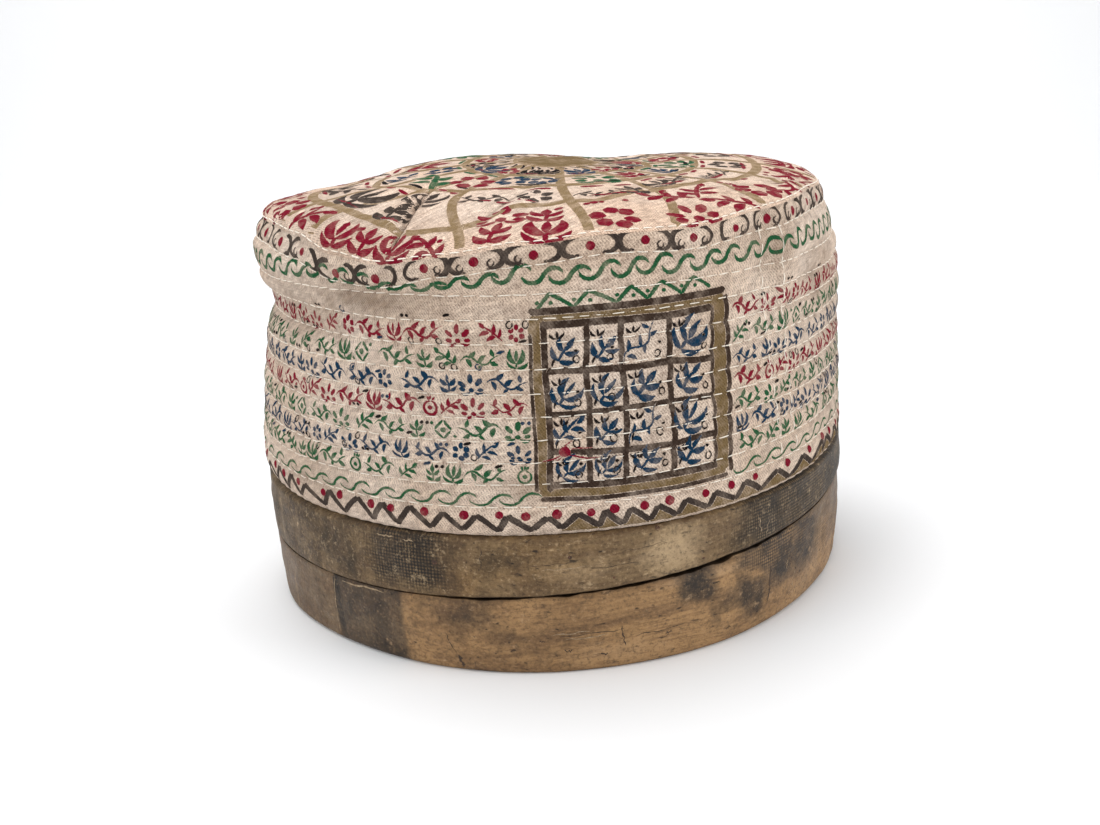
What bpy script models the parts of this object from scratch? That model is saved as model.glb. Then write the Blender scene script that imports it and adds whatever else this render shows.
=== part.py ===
# A quilted cloth cap stretched over an oval hat block made of two boards.
# Lengths are in millimetres and angles in degrees; they become metres and radians where points are made.
# +Z is up, the block stands on z = 0, +X runs along the long axis of the oval, and angle 0 is at +X.
# The drawn square panel faces -Y, at angle -90.

from collections import namedtuple

import bpy
import numpy as np

MM = 0.001
STEPS_AROUND = 80

# Plan outline at the hem: an oval whose radius swells three times around.
HALF_LENGTH = 95.0
HALF_WIDTH = 82.2
LOBE = 0.036
LOBE_ANGLE = 20.0
WALL_LEAN = 0.03

# Cap
CLOTH_THICKNESS = 1.5
QUILT_PUFF = 0.45
GAP = 0.3
CROWN_TOP = 131.0

# Wooden block
JOINT_HEIGHT = 25.3
JOINT_SLOPE = 0.045
JOINT_CHAMFER = 0.9
SHOULDER_START = 54.0
BLOCK_TOP = 106.0
SHOULDER_INSET = 30.0

# Sewn lines of the band, with their heights; the last one is the crown seam.
Line = namedtuple("Line", "name height")
LINES = [
    Line("hem", 42.0),
    Line("above the zigzag", 49.3),
    Line("above the lower wave", 55.5),
    Line("first plain line", 61.4),
    Line("second plain line", 67.4),
    Line("third plain line", 73.6),
    Line("middle of the panel", 79.9),
    Line("fifth plain line", 86.3),
    Line("sixth plain line", 93.0),
    Line("top of the panel", 99.3),
    Line("below the upper wave", 105.6),
    Line("below the scrolls", 113.0),
    Line("crown seam", 118.0),
]
SEAM_LINE = len(LINES) - 1
SCROLL_LINE = SEAM_LINE - 1

# Sections around the cap: how far the hem lifts, where the two top lines lie, how square the crown's
# corner is (1 is a cone, 2 an ellipse, more is squarer), and how far the top edge is pushed out.
Section = namedtuple("Section", "angle hem_lift seam_height scroll_height squareness edge_push")
SECTIONS = [
    Section(-180, 0.6, 120.6, 115.2, 2.6, 0.0),
    Section(-163, 0.0, 119.0, 113.0, 2.6, 0.0),
    Section(-149, 0.0, 115.2, 108.0, 2.1, 0.6),
    Section(-138, 0.0, 113.3, 107.3, 1.8, 0.8),
    Section(-125, 0.0, 115.5, 110.6, 1.7, 0.3),
    Section(-112, 0.0, 118.0, 112.9, 1.6, 0.0),
    Section(-99, 0.0, 119.5, 114.6, 1.6, 0.0),
    Section(-85, 0.0, 118.8, 113.4, 1.6, 0.0),
    Section(-70, 0.0, 120.4, 115.0, 1.6, -0.4),
    Section(-57, 0.2, 121.2, 115.6, 1.6, -0.8),
    Section(-44, 0.6, 122.0, 116.2, 1.6, -2.0),
    Section(-20, 1.2, 120.6, 115.4, 1.6, -3.0),
    Section(20, 2.0, 119.6, 114.6, 1.7, -2.0),
    Section(60, 3.5, 119.6, 114.0, 1.8, -1.0),
    Section(100, 5.5, 119.8, 114.2, 2.0, 0.0),
    Section(140, 7.0, 120.6, 115.0, 2.4, -1.0),
]
EDGE_HEIGHT = 121.0
EDGE_REACH = 12.0

# Folds and dents of the band: each pushes the cloth out or in around one spot.
Fold = namedtuple("Fold", "name angle half_angle height half_height push")
FOLDS = [
    Fold("left side leans in", 174, 75, 92.0, 33.0, -3.1),
    Fold("lower left flares", 172, 60, 52.0, 11.0, 0.9),
    Fold("pinch under the corner", 178, 50, 95.5, 9.5, -3.8),
    Fold("pinch runs to the front", -140, 26, 102.5, 5.0, -1.2),
    Fold("roll above the pinch", -158, 34, 110.0, 7.0, 0.9),
    Fold("left corner rounds over", 172, 60, 124.0, 12.0, -4.5),
    Fold("right corner rounds over", -28, 60, 121.0, 13.0, -1.6),
    Fold("hollow below the right corner", -22, 45, 110.0, 8.0, -1.5),
    Fold("joining ridge", -62, 7.0, 108.0, 22.0, 0.9),
    Fold("groove beside the ridge", -69.5, 5.0, 106.0, 20.0, -0.6),
]

# Humps and sags of the crown, in plan.
Lump = namedtuple("Lump", "name x y reach_x reach_y rise")
LUMPS = [
    Lump("left shoulder lies low", -70, 35, 34, 56, -2.6),
    Lump("back left shoulder dips", -60, 52, 16, 26, -2.0),
    Lump("left hump", -18, 36, 34, 40, 2.8),
    Lump("sag in the middle", 28, 10, 16, 38, -1.6),
    Lump("right hump", 72, 3, 32, 40, 3.3),
    Lump("front crease", -24, -58, 7, 22, -1.2),
    Lump("droop at the right", 60, -42, 12, 12, -1.4),
]

# Profile of the block's outer wall: height, and how far it stands out from the cap's plan outline.
Station = namedtuple("Station", "height offset")
LOWER_WALL = [Station(0.0, -2.2), Station(1.2, -1.3), Station(12.0, -0.5)]
UPPER_WALL = [Station(33.0, 0.6)]
INSIDE_OFFSET = -CLOTH_THICKNESS - GAP
INSIDE_HEIGHTS = [54.0, 68.0, 80.0, 90.0, 98.0, 103.5, BLOCK_TOP]

# The same wall just below the hem, with heights counted from the hem, steps back under the cloth.
HEM_WALL = [Station(-4.0, 0.3), Station(-1.4, -0.7), Station(-0.8, INSIDE_OFFSET - 0.2)]

# Rings of the inside of the band, counted in sewn lines, and rings of the crown from rim to middle.
INSIDE_POSITIONS = [11.0, 10.5, 10.0, 9.5, 9.0, 8.5, 8.0, 7.0, 6.0, 4.5, 3.0, 0.0]
CROWN_RINGS = [0.94, 0.87, 0.79, 0.70, 0.60, 0.50, 0.40, 0.30, 0.20, 0.10]
INNER_CROWN_RINGS = [0.90, 0.78, 0.64, 0.48, 0.30, 0.14]


def bell(u):
    # 1 in the middle, falling smoothly to 0 at u = -1 and u = 1.
    inside = np.clip(1.0 - np.square(u), 0.0, 1.0)
    return inside * inside


def turn_from(angle, centre):
    # Signed turn in degrees from centre to angle, between -180 and 180.
    return (angle - centre + 180.0) % 360.0 - 180.0


def around(column, angle):
    # Value of one column of SECTIONS at any angle, eased from each section to the next.
    stops = np.array([s.angle for s in SECTIONS] + [SECTIONS[0].angle + 360.0])
    values = np.array([getattr(s, column) for s in SECTIONS + SECTIONS[:1]])
    wrapped = (angle + 180.0) % 360.0 - 180.0
    i = np.clip(np.searchsorted(stops, wrapped, side="right") - 1, 0, len(SECTIONS) - 1)
    share = (wrapped - stops[i]) / (stops[i + 1] - stops[i])
    share = share * share * (3.0 - 2.0 * share)
    return values[i] + (values[i + 1] - values[i]) * share


def raw_outline(angle):
    # The lobed oval about the crossing of its axes.
    turn = np.radians(angle)
    swell = 1.0 + LOBE * np.cos(3.0 * (turn - np.radians(LOBE_ANGLE)))
    return np.stack([HALF_LENGTH * np.cos(turn) * swell, HALF_WIDTH * np.sin(turn) * swell])


def outline(angle):
    # The lobed oval with the middle of its box at the origin.
    whole = raw_outline(np.arange(0.0, 360.0, 0.5))
    middle = (whole.min(axis=1) + whole.max(axis=1)) / 2.0
    return raw_outline(angle) - middle[:, None]


def offset_outline(angle, offset):
    # The outline moved outwards by offset along its radius.
    plan = outline(angle)
    return plan * (1.0 + offset / np.hypot(plan[0], plan[1]))


def wall_push(angle, height):
    # How far the cloth stands out from the outline: the lean, the folds and the top edge.
    push = -WALL_LEAN * (height - LINES[0].height)
    for fold in FOLDS:
        reach = bell(turn_from(angle, fold.angle) / fold.half_angle)
        push = push + fold.push * reach * bell((height - fold.height) / fold.half_height)
    return push + around("edge_push", angle) * bell((height - EDGE_HEIGHT) / EDGE_REACH)


def line_height(angle, position):
    # Height at a position counted in sewn lines: 0 is the hem and SEAM_LINE the crown seam.
    heights = np.tile(np.array([line.height for line in LINES])[:, None], len(angle))
    lift = around("hem_lift", angle)
    heights[:SCROLL_LINE] += lift * np.linspace(1.0, 0.0, SCROLL_LINE)[:, None]
    heights[SCROLL_LINE] = around("scroll_height", angle)
    heights[SEAM_LINE] = around("seam_height", angle)
    below = min(int(position), SEAM_LINE - 1)
    share = position - below
    return heights[below] * (1.0 - share) + heights[below + 1] * share


def band_ring(angle, position, inset=0.0):
    # One ring of the band, puffed between two sewn lines and moved in by inset.
    height = line_height(angle, position)
    puff = QUILT_PUFF * np.sin(np.pi * (position % 1.0))
    plan = offset_outline(angle, wall_push(angle, height) + puff - inset)
    return np.stack([plan[0], plan[1], height], axis=1)


def crown_ring(angle, share, inset=0.0):
    # One ring of the crown: share 1 is the seam and 0 the middle. Plan and height follow a
    # superellipse whose squareness changes around the cap, and inset gives the underside, which
    # drops by the same amount a little way in from the rim.
    seam = around("seam_height", angle)
    power = 2.0 / around("squareness", angle)
    turn = share * np.pi / 2.0
    reach = np.sin(turn) ** power
    plan = offset_outline(angle, wall_push(angle, seam) - inset) * reach
    height = seam + (CROWN_TOP - seam) * np.cos(turn) ** power - inset * (1.0 - share ** 6)
    for lump in LUMPS:
        spread = ((plan[0] - lump.x) / lump.reach_x) ** 2 + ((plan[1] - lump.y) / lump.reach_y) ** 2
        height = height + lump.rise * np.exp(-spread) * (1.0 - reach ** 6)
    return np.stack([plan[0], plan[1], height], axis=1)


def joint_height(plan_x):
    # The joint between the boards is a plane that rises towards +X.
    return JOINT_HEIGHT + JOINT_SLOPE * plan_x


def block_ring(angle, height, offset):
    plan = offset_outline(angle, offset)
    return np.stack([plan[0], plan[1], height + np.zeros(len(angle))], axis=1)


def joint_ring(angle, offset, above):
    # A ring that lies a fixed distance above the joint's plane.
    plan = offset_outline(angle, offset)
    return np.stack([plan[0], plan[1], joint_height(plan[0]) + above], axis=1)


def shoulder_offset(height):
    # The hidden part of the block is rounded over in a quarter of an ellipse.
    rise = np.clip((height - SHOULDER_START) / (BLOCK_TOP - SHOULDER_START), 0.0, 1.0)
    return SHOULDER_INSET * (1.0 - np.sqrt(1.0 - rise * rise))


def stretch_faces(first, second, steps):
    # Quads between two neighbouring rings of points.
    k = np.arange(steps)
    n = (k + 1) % steps
    return np.stack([first + k, first + n, second + n, second + k], axis=1).tolist()


def add_solid(name, points, faces, colour, roughness):
    mesh = bpy.data.meshes.new(name)
    mesh.from_pydata((np.asarray(points) * MM).tolist(), [], faces)
    mesh.validate()
    mesh.update()
    mesh.shade_smooth()
    mesh.set_sharp_from_angle(angle=np.radians(50.0))
    material = bpy.data.materials.new(name + "_material")
    material.use_nodes = True
    shader = material.node_tree.nodes["Principled BSDF"]
    shader.inputs["Base Color"].default_value = (*colour, 1.0)
    shader.inputs["Roughness"].default_value = roughness
    shader.inputs["Metallic"].default_value = 0.0
    mesh.materials.append(material)
    piece = bpy.data.objects.new(name, mesh)
    bpy.context.scene.collection.objects.link(piece)
    return piece


def make_band(angle):
    # A closed wall: outer rings from the hem to the seam, then inner rings back down to the hem.
    top = SEAM_LINE - GAP / 2.0 / (LINES[SEAM_LINE].height - LINES[SCROLL_LINE].height)
    outer = [half / 2.0 for half in range(2 * SEAM_LINE)] + [top]
    inner = [top] + INSIDE_POSITIONS
    rings = [band_ring(angle, position) for position in outer]
    rings += [inner_band_ring(angle, position) for position in inner]
    faces = []
    for i in range(len(rings)):
        faces += stretch_faces(i * STEPS_AROUND, (i + 1) % len(rings) * STEPS_AROUND, STEPS_AROUND)
    return add_solid("cap_side_band", np.concatenate(rings), faces, (0.62, 0.50, 0.40), 0.9)


def inner_band_ring(angle, position):
    # The inside of the band is smooth, without the quilting.
    height = line_height(angle, position)
    plan = offset_outline(angle, wall_push(angle, height) - CLOTH_THICKNESS)
    return np.stack([plan[0], plan[1], height], axis=1)


def make_crown(angle):
    # A closed shell: outer rings from the rim to the middle, and inner rings back out to the rim.
    outer = [crown_ring(angle, share) for share in [1.0] + CROWN_RINGS]
    inner = [crown_ring(angle, share, CLOTH_THICKNESS) for share in [1.0] + INNER_CROWN_RINGS]
    for rim in (outer[0], inner[0]):
        rim[:, 2] += GAP / 2.0
    points = np.concatenate(outer + inner + [crown_ring(angle[:1], 0.0)]
                            + [crown_ring(angle[:1], 0.0, CLOTH_THICKNESS)])
    faces = []
    for i in range(len(outer) - 1):
        faces += stretch_faces(i * STEPS_AROUND, (i + 1) * STEPS_AROUND, STEPS_AROUND)
    under = len(outer) * STEPS_AROUND
    for i in range(len(inner) - 1):
        faces += stretch_faces(under + (i + 1) * STEPS_AROUND, under + i * STEPS_AROUND, STEPS_AROUND)
    faces += stretch_faces(under, 0, STEPS_AROUND)
    pole = under + len(inner) * STEPS_AROUND
    last_outer = (len(outer) - 1) * STEPS_AROUND
    last_inner = pole - STEPS_AROUND
    for k in range(STEPS_AROUND):
        n = (k + 1) % STEPS_AROUND
        faces.append([last_outer + k, last_outer + n, pole])
        faces.append([last_inner + n, last_inner + k, pole + 1])
    return add_solid("cap_crown", points, faces, (0.66, 0.54, 0.42), 0.9)


def make_board(name, rings, colour):
    # A solid board: its wall rings from the bottom up, and two flat ends.
    faces = []
    for i in range(len(rings) - 1):
        faces += stretch_faces(i * STEPS_AROUND, (i + 1) * STEPS_AROUND, STEPS_AROUND)
    last = (len(rings) - 1) * STEPS_AROUND
    faces.append(list(range(STEPS_AROUND))[::-1])
    faces.append([last + k for k in range(STEPS_AROUND)])
    return add_solid(name, np.concatenate(rings), faces, colour, 0.55)


def make_lower_board(angle):
    rings = [block_ring(angle, s.height, s.offset) for s in LOWER_WALL]
    rings.append(joint_ring(angle, -0.1, -GAP / 2.0 - JOINT_CHAMFER))
    rings.append(joint_ring(angle, -JOINT_CHAMFER, -GAP / 2.0))
    return make_board("block_lower_board", rings, (0.27, 0.17, 0.09))


def make_upper_board(angle):
    rings = [joint_ring(angle, -JOINT_CHAMFER, GAP / 2.0)]
    rings.append(joint_ring(angle, 0.3, GAP / 2.0 + JOINT_CHAMFER))
    rings += [block_ring(angle, s.height, s.offset) for s in UPPER_WALL]
    rings += [block_ring(angle, line_height(angle, 0) + s.height, s.offset) for s in HEM_WALL]
    for height in INSIDE_HEIGHTS:
        lean = WALL_LEAN * (height - LINES[0].height)
        rings.append(block_ring(angle, height, INSIDE_OFFSET - lean - shoulder_offset(height)))
    return make_board("block_upper_board", rings, (0.16, 0.12, 0.08))


def main():
    for old in list(bpy.data.objects):
        bpy.data.objects.remove(old, do_unlink=True)
    angle = np.arange(STEPS_AROUND) * 360.0 / STEPS_AROUND
    make_lower_board(angle)
    make_upper_board(angle)
    make_band(angle)
    make_crown(angle)


main()
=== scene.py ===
import bpy
import numpy as np
from mathutils import Matrix


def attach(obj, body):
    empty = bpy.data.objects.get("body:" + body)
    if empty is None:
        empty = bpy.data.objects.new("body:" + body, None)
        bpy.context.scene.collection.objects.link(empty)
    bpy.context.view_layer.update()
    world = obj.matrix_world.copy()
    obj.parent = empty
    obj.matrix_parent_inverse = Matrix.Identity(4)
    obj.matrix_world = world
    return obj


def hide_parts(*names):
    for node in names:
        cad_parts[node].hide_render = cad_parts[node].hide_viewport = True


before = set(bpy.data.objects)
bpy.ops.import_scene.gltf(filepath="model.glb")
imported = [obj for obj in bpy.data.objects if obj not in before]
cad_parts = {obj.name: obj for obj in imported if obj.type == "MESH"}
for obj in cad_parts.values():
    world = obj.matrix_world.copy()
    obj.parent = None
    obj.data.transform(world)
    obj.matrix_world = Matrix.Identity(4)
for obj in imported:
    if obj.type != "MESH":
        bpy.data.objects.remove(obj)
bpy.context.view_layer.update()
mm = 0.001
newRandom = np.random.default_rng
print("frame loaded with", len(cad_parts), "nodes")

# Lengths are in millimetres and angles in degrees until a mesh is made.
# Angle 0 is at +X, and the drawn square panel faces -Y at angle -90.
capShape = dict(
    halfLength=95, halfWidth=82.2,      # plan outline at the hem
    lobe=0.036, lobeAngle=20,           # the oval swells three times around
    wallLean=0.03,
    cloth=1.5,                          # thickness
    crownTop=131,
    edgeHeight=121, edgeReach=12,
)
lineHeights = np.array([42, 49.3, 55.5, 61.4, 67.4, 73.6, 79.9, 86.3, 93, 99.3, 105.6, 113, 118])
seamLine = 12
jointLean = 0.16    # sideways run of the joining ridge for each millimetre down


def table(columns, rows):
    # One array for each named column.
    return dict(zip(columns.split(), np.array(rows, float).T))


sections = table("angle hemLift seamHeight scrollHeight squareness edgePush", [
    (-180, 0.6, 120.6, 115.2, 2.6, 0), (-163, 0, 119, 113, 2.6, 0), (-149, 0, 115.2, 108, 2.1, 0.6),
    (-138, 0, 113.3, 107.3, 1.8, 0.8), (-125, 0, 115.5, 110.6, 1.7, 0.3), (-112, 0, 118, 112.9, 1.6, 0),
    (-99, 0, 119.5, 114.6, 1.6, 0), (-85, 0, 118.8, 113.4, 1.6, 0), (-70, 0, 120.4, 115, 1.6, -0.4),
    (-57, 0.2, 121.2, 115.6, 1.6, -0.8), (-44, 0.6, 122, 116.2, 1.6, -2), (-20, 1.2, 120.6, 115.4, 1.6, -3),
    (20, 2, 119.6, 114.6, 1.7, -2), (60, 3.5, 119.6, 114, 1.8, -1), (100, 5.5, 119.8, 114.2, 2, 0),
    (140, 7, 120.6, 115, 2.4, -1)])

# Folds of the band as angle, half angle, height, half height and push: left side, lower left flare, pinch
# under the corner and its run to the front, roll above it, the two round corners, hollow below the right
# one, joining ridge and the groove beside it.
folds = [
    (174, 75, 92, 33, -3.1), (172, 60, 52, 11, 0.9), (178, 50, 95.5, 9.5, -3.8), (-140, 26, 102.5, 5, -1.2),
    (-158, 34, 110, 7, 0.9), (172, 60, 124, 12, -4.5), (-28, 60, 121, 13, -1.6), (-22, 45, 110, 8, -1.5),
    (-62, 7, 108, 22, 1.4), (-69.5, 5, 106, 20, -0.6)]

# Humps and sags of the crown as x, y, reach along each and rise: left shoulder, back left shoulder, left
# hump, middle sag, right hump, front crease and the droop at the right.
lumps = [
    (-70, 35, 34, 56, -2.6), (-60, 52, 16, 26, -2), (-18, 36, 34, 40, 2.8), (28, 10, 16, 38, -1.6),
    (72, 3, 32, 40, 3.3), (-24, -58, 7, 22, -1.2), (60, -42, 12, 12, -1.4)]


def bell(u):
    # The square of one minus u squared, and zero outside minus one to one.
    return np.clip(1 - np.square(u), 0, 1) ** 2


def ease(u):
    # Three times u squared less twice u cubed, with u held between zero and one.
    u = np.clip(u, 0, 1)
    return u * u * (3 - 2 * u)


def turnFrom(angle, centre=0):
    # Signed turn from centre to angle, between -180 and 180.
    return (angle - centre + 180) % 360 - 180


def polar(degrees, radius):
    turn = np.radians(degrees)
    return np.stack([radius * np.cos(turn), radius * np.sin(turn)], axis=-1)


def wholeTurns(columns):
    return np.arange(columns) * 360 / columns - 180


def softNoise(seed, around, up, u, v):
    # Hills between -1 and 1: random values on a lattice that closes on itself both ways, with an eased
    # blend between the four nearest. u and v run from 0 to 1.
    lattice = newRandom(seed).uniform(-1, 1, (up, around))
    x, y = u * around, v * up
    i, j = np.floor(x).astype(int), np.floor(y).astype(int)
    fx, fy = ease(x - i), ease(y - j)
    low, high = (lattice[k % up, i % around] * (1 - fx) + lattice[k % up, (i + 1) % around] * fx for k in (j, j + 1))
    return low * (1 - fy) + high * fy


def spotsAt(angle, height, spots):
    # The sum over the spots of amount times a bell around the cap times a bell up it, each as wide as the spot.
    return sum(amount * bell(turnFrom(angle, centre) / halfAngle) * bell((height - middle) / halfHeight)
               for centre, halfAngle, middle, halfHeight, amount in spots)


def aroundCap(column, angle):
    # One column of the sections at any angle, eased from each section to the next.
    stops = np.append(sections["angle"], sections["angle"][0] + 360)
    values = np.append(sections[column], sections[column][0])
    wrapped = turnFrom(angle)
    i = np.clip(np.searchsorted(stops, wrapped, side="right") - 1, 0, len(stops) - 2)
    return values[i] + (values[i + 1] - values[i]) * ease((wrapped - stops[i]) / (stops[i + 1] - stops[i]))


def rawOutline(angle):
    # An ellipse scaled by one plus lobe times the cosine of three times the turn from lobeAngle.
    turn = np.radians(angle)
    swell = 1 + capShape["lobe"] * np.cos(3 * (turn - np.radians(capShape["lobeAngle"])))
    return np.stack([capShape["halfLength"] * np.cos(turn) * swell, capShape["halfWidth"] * np.sin(turn) * swell])


fullTurn = rawOutline(np.arange(0, 360, 0.5))
outlineMiddle = (fullTurn.min(axis=1) + fullTurn.max(axis=1)) / 2


def offsetOutline(angle, offset):
    # The oval moved out by offset along its radius; offset may be a whole grid of rings by columns.
    plan = rawOutline(angle) - outlineMiddle.reshape(2, *[1] * np.ndim(angle))
    if np.ndim(offset) > np.ndim(angle):
        plan = plan[:, None]
    return plan * (1 + offset / np.hypot(plan[0], plan[1]))


def wallAt(angle, height, offset):
    # Rings of points at their heights and at an offset from the outline.
    x, y = offsetOutline(angle, offset)
    return np.stack([x, y, height + 0 * x], axis=2)


def wallPush(angle, height):
    # How far the cloth stands out from the outline: the lean, the folds and the top edge.
    edge = aroundCap("edgePush", angle) * bell((height - capShape["edgeHeight"]) / capShape["edgeReach"])
    return edge + spotsAt(angle, height, folds) - capShape["wallLean"] * (height - lineHeights[0])


def allLines(angle):
    # Heights of the thirteen sewn lines at each angle.
    lines = np.tile(lineHeights[:, None], len(angle))
    lines[:seamLine - 1] += aroundCap("hemLift", angle) * np.linspace(1, 0, seamLine - 1)[:, None]
    lines[seamLine - 1:] = aroundCap("scrollHeight", angle), aroundCap("seamHeight", angle)
    return lines


def ringHeights(angle, position):
    # Heights of whole rings whose positions count sewn lines, from 0 at the hem to 12 at the crown seam.
    lines = allLines(angle)
    below = np.minimum(position.astype(int), seamLine - 1)
    share = (position - below)[:, None]
    return lines[below] * (1 - share) + lines[below + 1] * share


def unit(vectors):
    return vectors / np.maximum(np.linalg.norm(vectors, axis=-1, keepdims=True), 1e-9)


def gridNormals(rings):
    # Cross product of the steps around and the steps up, closed around.
    return unit(np.cross(np.roll(rings, -1, axis=1) - np.roll(rings, 1, axis=1), np.gradient(rings, axis=0)))


def onGrid(grid, row, column):
    # Blend of the four grid points around a fractional row and column; columns close on themselves.
    columns = grid.shape[1]
    row = np.clip(row, 0, grid.shape[0] - 1.001)
    i, j = np.floor(row).astype(int), np.floor(column).astype(int)
    fi, fj = (row - i)[..., None], (column - j)[..., None]
    low, high = (grid[k, j % columns] * (1 - fj) + grid[k, (j + 1) % columns] * fj for k in (i, i + 1))
    return low * (1 - fi) + high * fi


def lifted(grid, row, column, lift):
    # Points of a grid, moved out along its normals.
    return onGrid(grid, row, column) + onGrid(gridNormals(grid), row, column) * lift[:, None]


def ringFaces(ringCount, columns):
    # Quads between neighbouring rings, facing outwards where the rings climb.
    k = np.arange(ringCount - 1)[:, None] * columns
    j = np.arange(columns)[None]
    n = (j + 1) % columns
    return np.stack([k + j, k + n, k + columns + n, k + columns + j], axis=2).reshape(-1, 4)


def stripFaces(rows, lanes, start=0):
    # The quads of an open grid: a point, the one below it in the next row, that one's neighbour, its own neighbour.
    a = start + np.arange((rows - 1) * lanes).reshape(-1, lanes)[:, :-1].ravel()
    return np.stack([a, a + lanes, a + lanes + 1, a + 1], axis=1)


def joined(strips):
    # All points of some strips (rows, lanes, values) in one list, and their faces.
    starts = np.cumsum([0] + [strip.shape[0] * strip.shape[1] for strip in strips])
    faces = [stripFaces(*strip.shape[:2], start) for strip, start in zip(strips, starts)]
    return np.concatenate([strip.reshape(-1, strip.shape[2]) for strip in strips]), np.concatenate(faces)


def facedOut(points, faces, outwards):
    # Turns the faces whose normal looks back along their own place, each axis weighed by outwards.
    a, b, d = (points[faces[:, k]] for k in (0, 1, 3))
    away = (np.cross(b - a, d - a) * a * outwards).sum(axis=1) < 0
    faces[away] = faces[away][:, ::-1]
    return faces


def closedRings(rings):
    # Rings with a point in the middle of each end to close them: all points, quads and end triangles.
    count, columns = rings.shape[:2]
    j = np.arange(columns)
    n = (j + 1) % columns
    pole, last = count * columns + 0 * j, (count - 1) * columns
    ends = np.concatenate([np.stack([n, j, pole], axis=1), np.stack([last + j, last + n, pole + 1], axis=1)])
    points = np.concatenate([rings.reshape(-1, 3), rings[:1].mean(axis=1), rings[-1:].mean(axis=1)])
    return points, ringFaces(count, columns), ends


def linked(name, data):
    thing = bpy.data.objects.new(name, data)
    bpy.context.scene.collection.objects.link(thing)
    return thing


def addPiece(name, points, faces, material, slot, uv=None, values=None, replaced=None):
    mesh = bpy.data.meshes.new(name)
    mesh.from_pydata((points.reshape(-1, 3) * mm).tolist(), [], faces)
    if uv is not None:
        mesh.uv_layers.new(name="surface").data.foreach_set("uv", np.asarray(uv, np.float32).ravel())
    for label, numbers in (values or {}).items():
        layer = mesh.attributes.new(label, "FLOAT", "POINT")
        layer.data.foreach_set("value", np.asarray(numbers, np.float32).ravel())
    mesh.update()
    mesh.shade_smooth()
    mesh.materials.append(material)
    piece = linked(name, mesh)
    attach(piece, "root")
    if replaced:
        mesh.set_sharp_from_angle(angle=np.radians(50))
        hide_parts(replaced)
    print(name, len(mesh.vertices), "points", len(mesh.polygons), "faces")
    return piece


# Node groups and materials

class Field:
    # A shader socket; arithmetic signs join it to numbers and other fields through math nodes.

    def __init__(self, tree, socket):
        self.tree, self.socket = tree, socket

    def math(self, operation, other=0):
        return node(self.tree, "Math", settings=dict(operation=operation), i0=self, i1=other)

    def __add__(self, other):
        return self.math("ADD", other)

    def __sub__(self, other):
        return self.math("SUBTRACT", other)

    def __rsub__(self, other):
        return self * -1 + other

    def __mul__(self, other):
        return self.math("MULTIPLY", other)

    def __truediv__(self, other):
        return self.math("DIVIDE", other)

    def sine(self):
        return self.math("SINE")

    def remap(self, low, high, toLow=0, toHigh=1):
        return node(self.tree, "MapRange", Value=self, From_Min=low, From_Max=high, To_Min=toLow, To_Max=toHigh)

    def out(self, name):
        # Another output of the same node.
        return Field(self.tree, self.socket.node.outputs[name])


def feed(socket, value):
    # Links a field to an input, or sets the input to a constant.
    if isinstance(value, Field):
        value.tree.links.new(value.socket, socket)
    else:
        socket.default_value = value


def node(tree, kind, output=0, settings=None, **sockets):
    # Adds a shader node, sets its properties and feeds its inputs: i0 is the first, and _ stands for a space.
    made = tree.nodes.new("ShaderNode" + kind)
    for key, value in (settings or {}).items():
        setattr(made, key, value)
    for key, value in sockets.items():
        feed(made.inputs[int(key[1]) if key[0] == "i" else key.replace("_", " ")], value)
    return Field(tree, made.outputs[output])


def mix(amount, a, b):
    return node(amount.tree, "Mix", 2, dict(data_type="RGBA"), i0=amount, i6=a, i7=b)


def noise(place, scale, detail=3, rough=0.55):
    return node(place.tree, "TexNoise", "Fac", Vector=place, Scale=scale, Detail=detail, Roughness=rough)


def stretched(vector, x, y, z=1):
    return node(vector.tree, "VectorMath", settings=dict(operation="MULTIPLY"), i0=vector, i1=(x, y, z))


def attribute(tree, name):
    return node(tree, "Attribute", "Fac", dict(attribute_name=name))


def rgba(r, g, b):
    # Screen colour from 0 to 255 as the linear colour that a shader takes.
    c = np.array([r, g, b]) / 255
    return (*np.where(c <= 0.04045, c / 12.92, ((c + 0.055) / 1.055) ** 2.4).tolist(), 1)


def newGroup(name, **inputs):
    # A node group and its inputs as fields, each given with its kind.
    group = bpy.data.node_groups.new(name, "ShaderNodeTree")
    for label, kind in inputs.items():
        group.interface.new_socket(label, in_out="INPUT", socket_type="NodeSocket" + kind)
    entry = group.nodes.new("NodeGroupInput")
    return group, *(Field(group, entry.outputs[label]) for label in inputs)


def closeGroup(group, **outputs):
    for label in outputs:
        kind = "NodeSocketColor" if label == "Color" else "NodeSocketFloat"
        group.interface.new_socket(label, in_out="OUTPUT", socket_type=kind)
    end = group.nodes.new("NodeGroupOutput")
    for label, field in outputs.items():
        feed(end.inputs[label], field)
    return group


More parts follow.
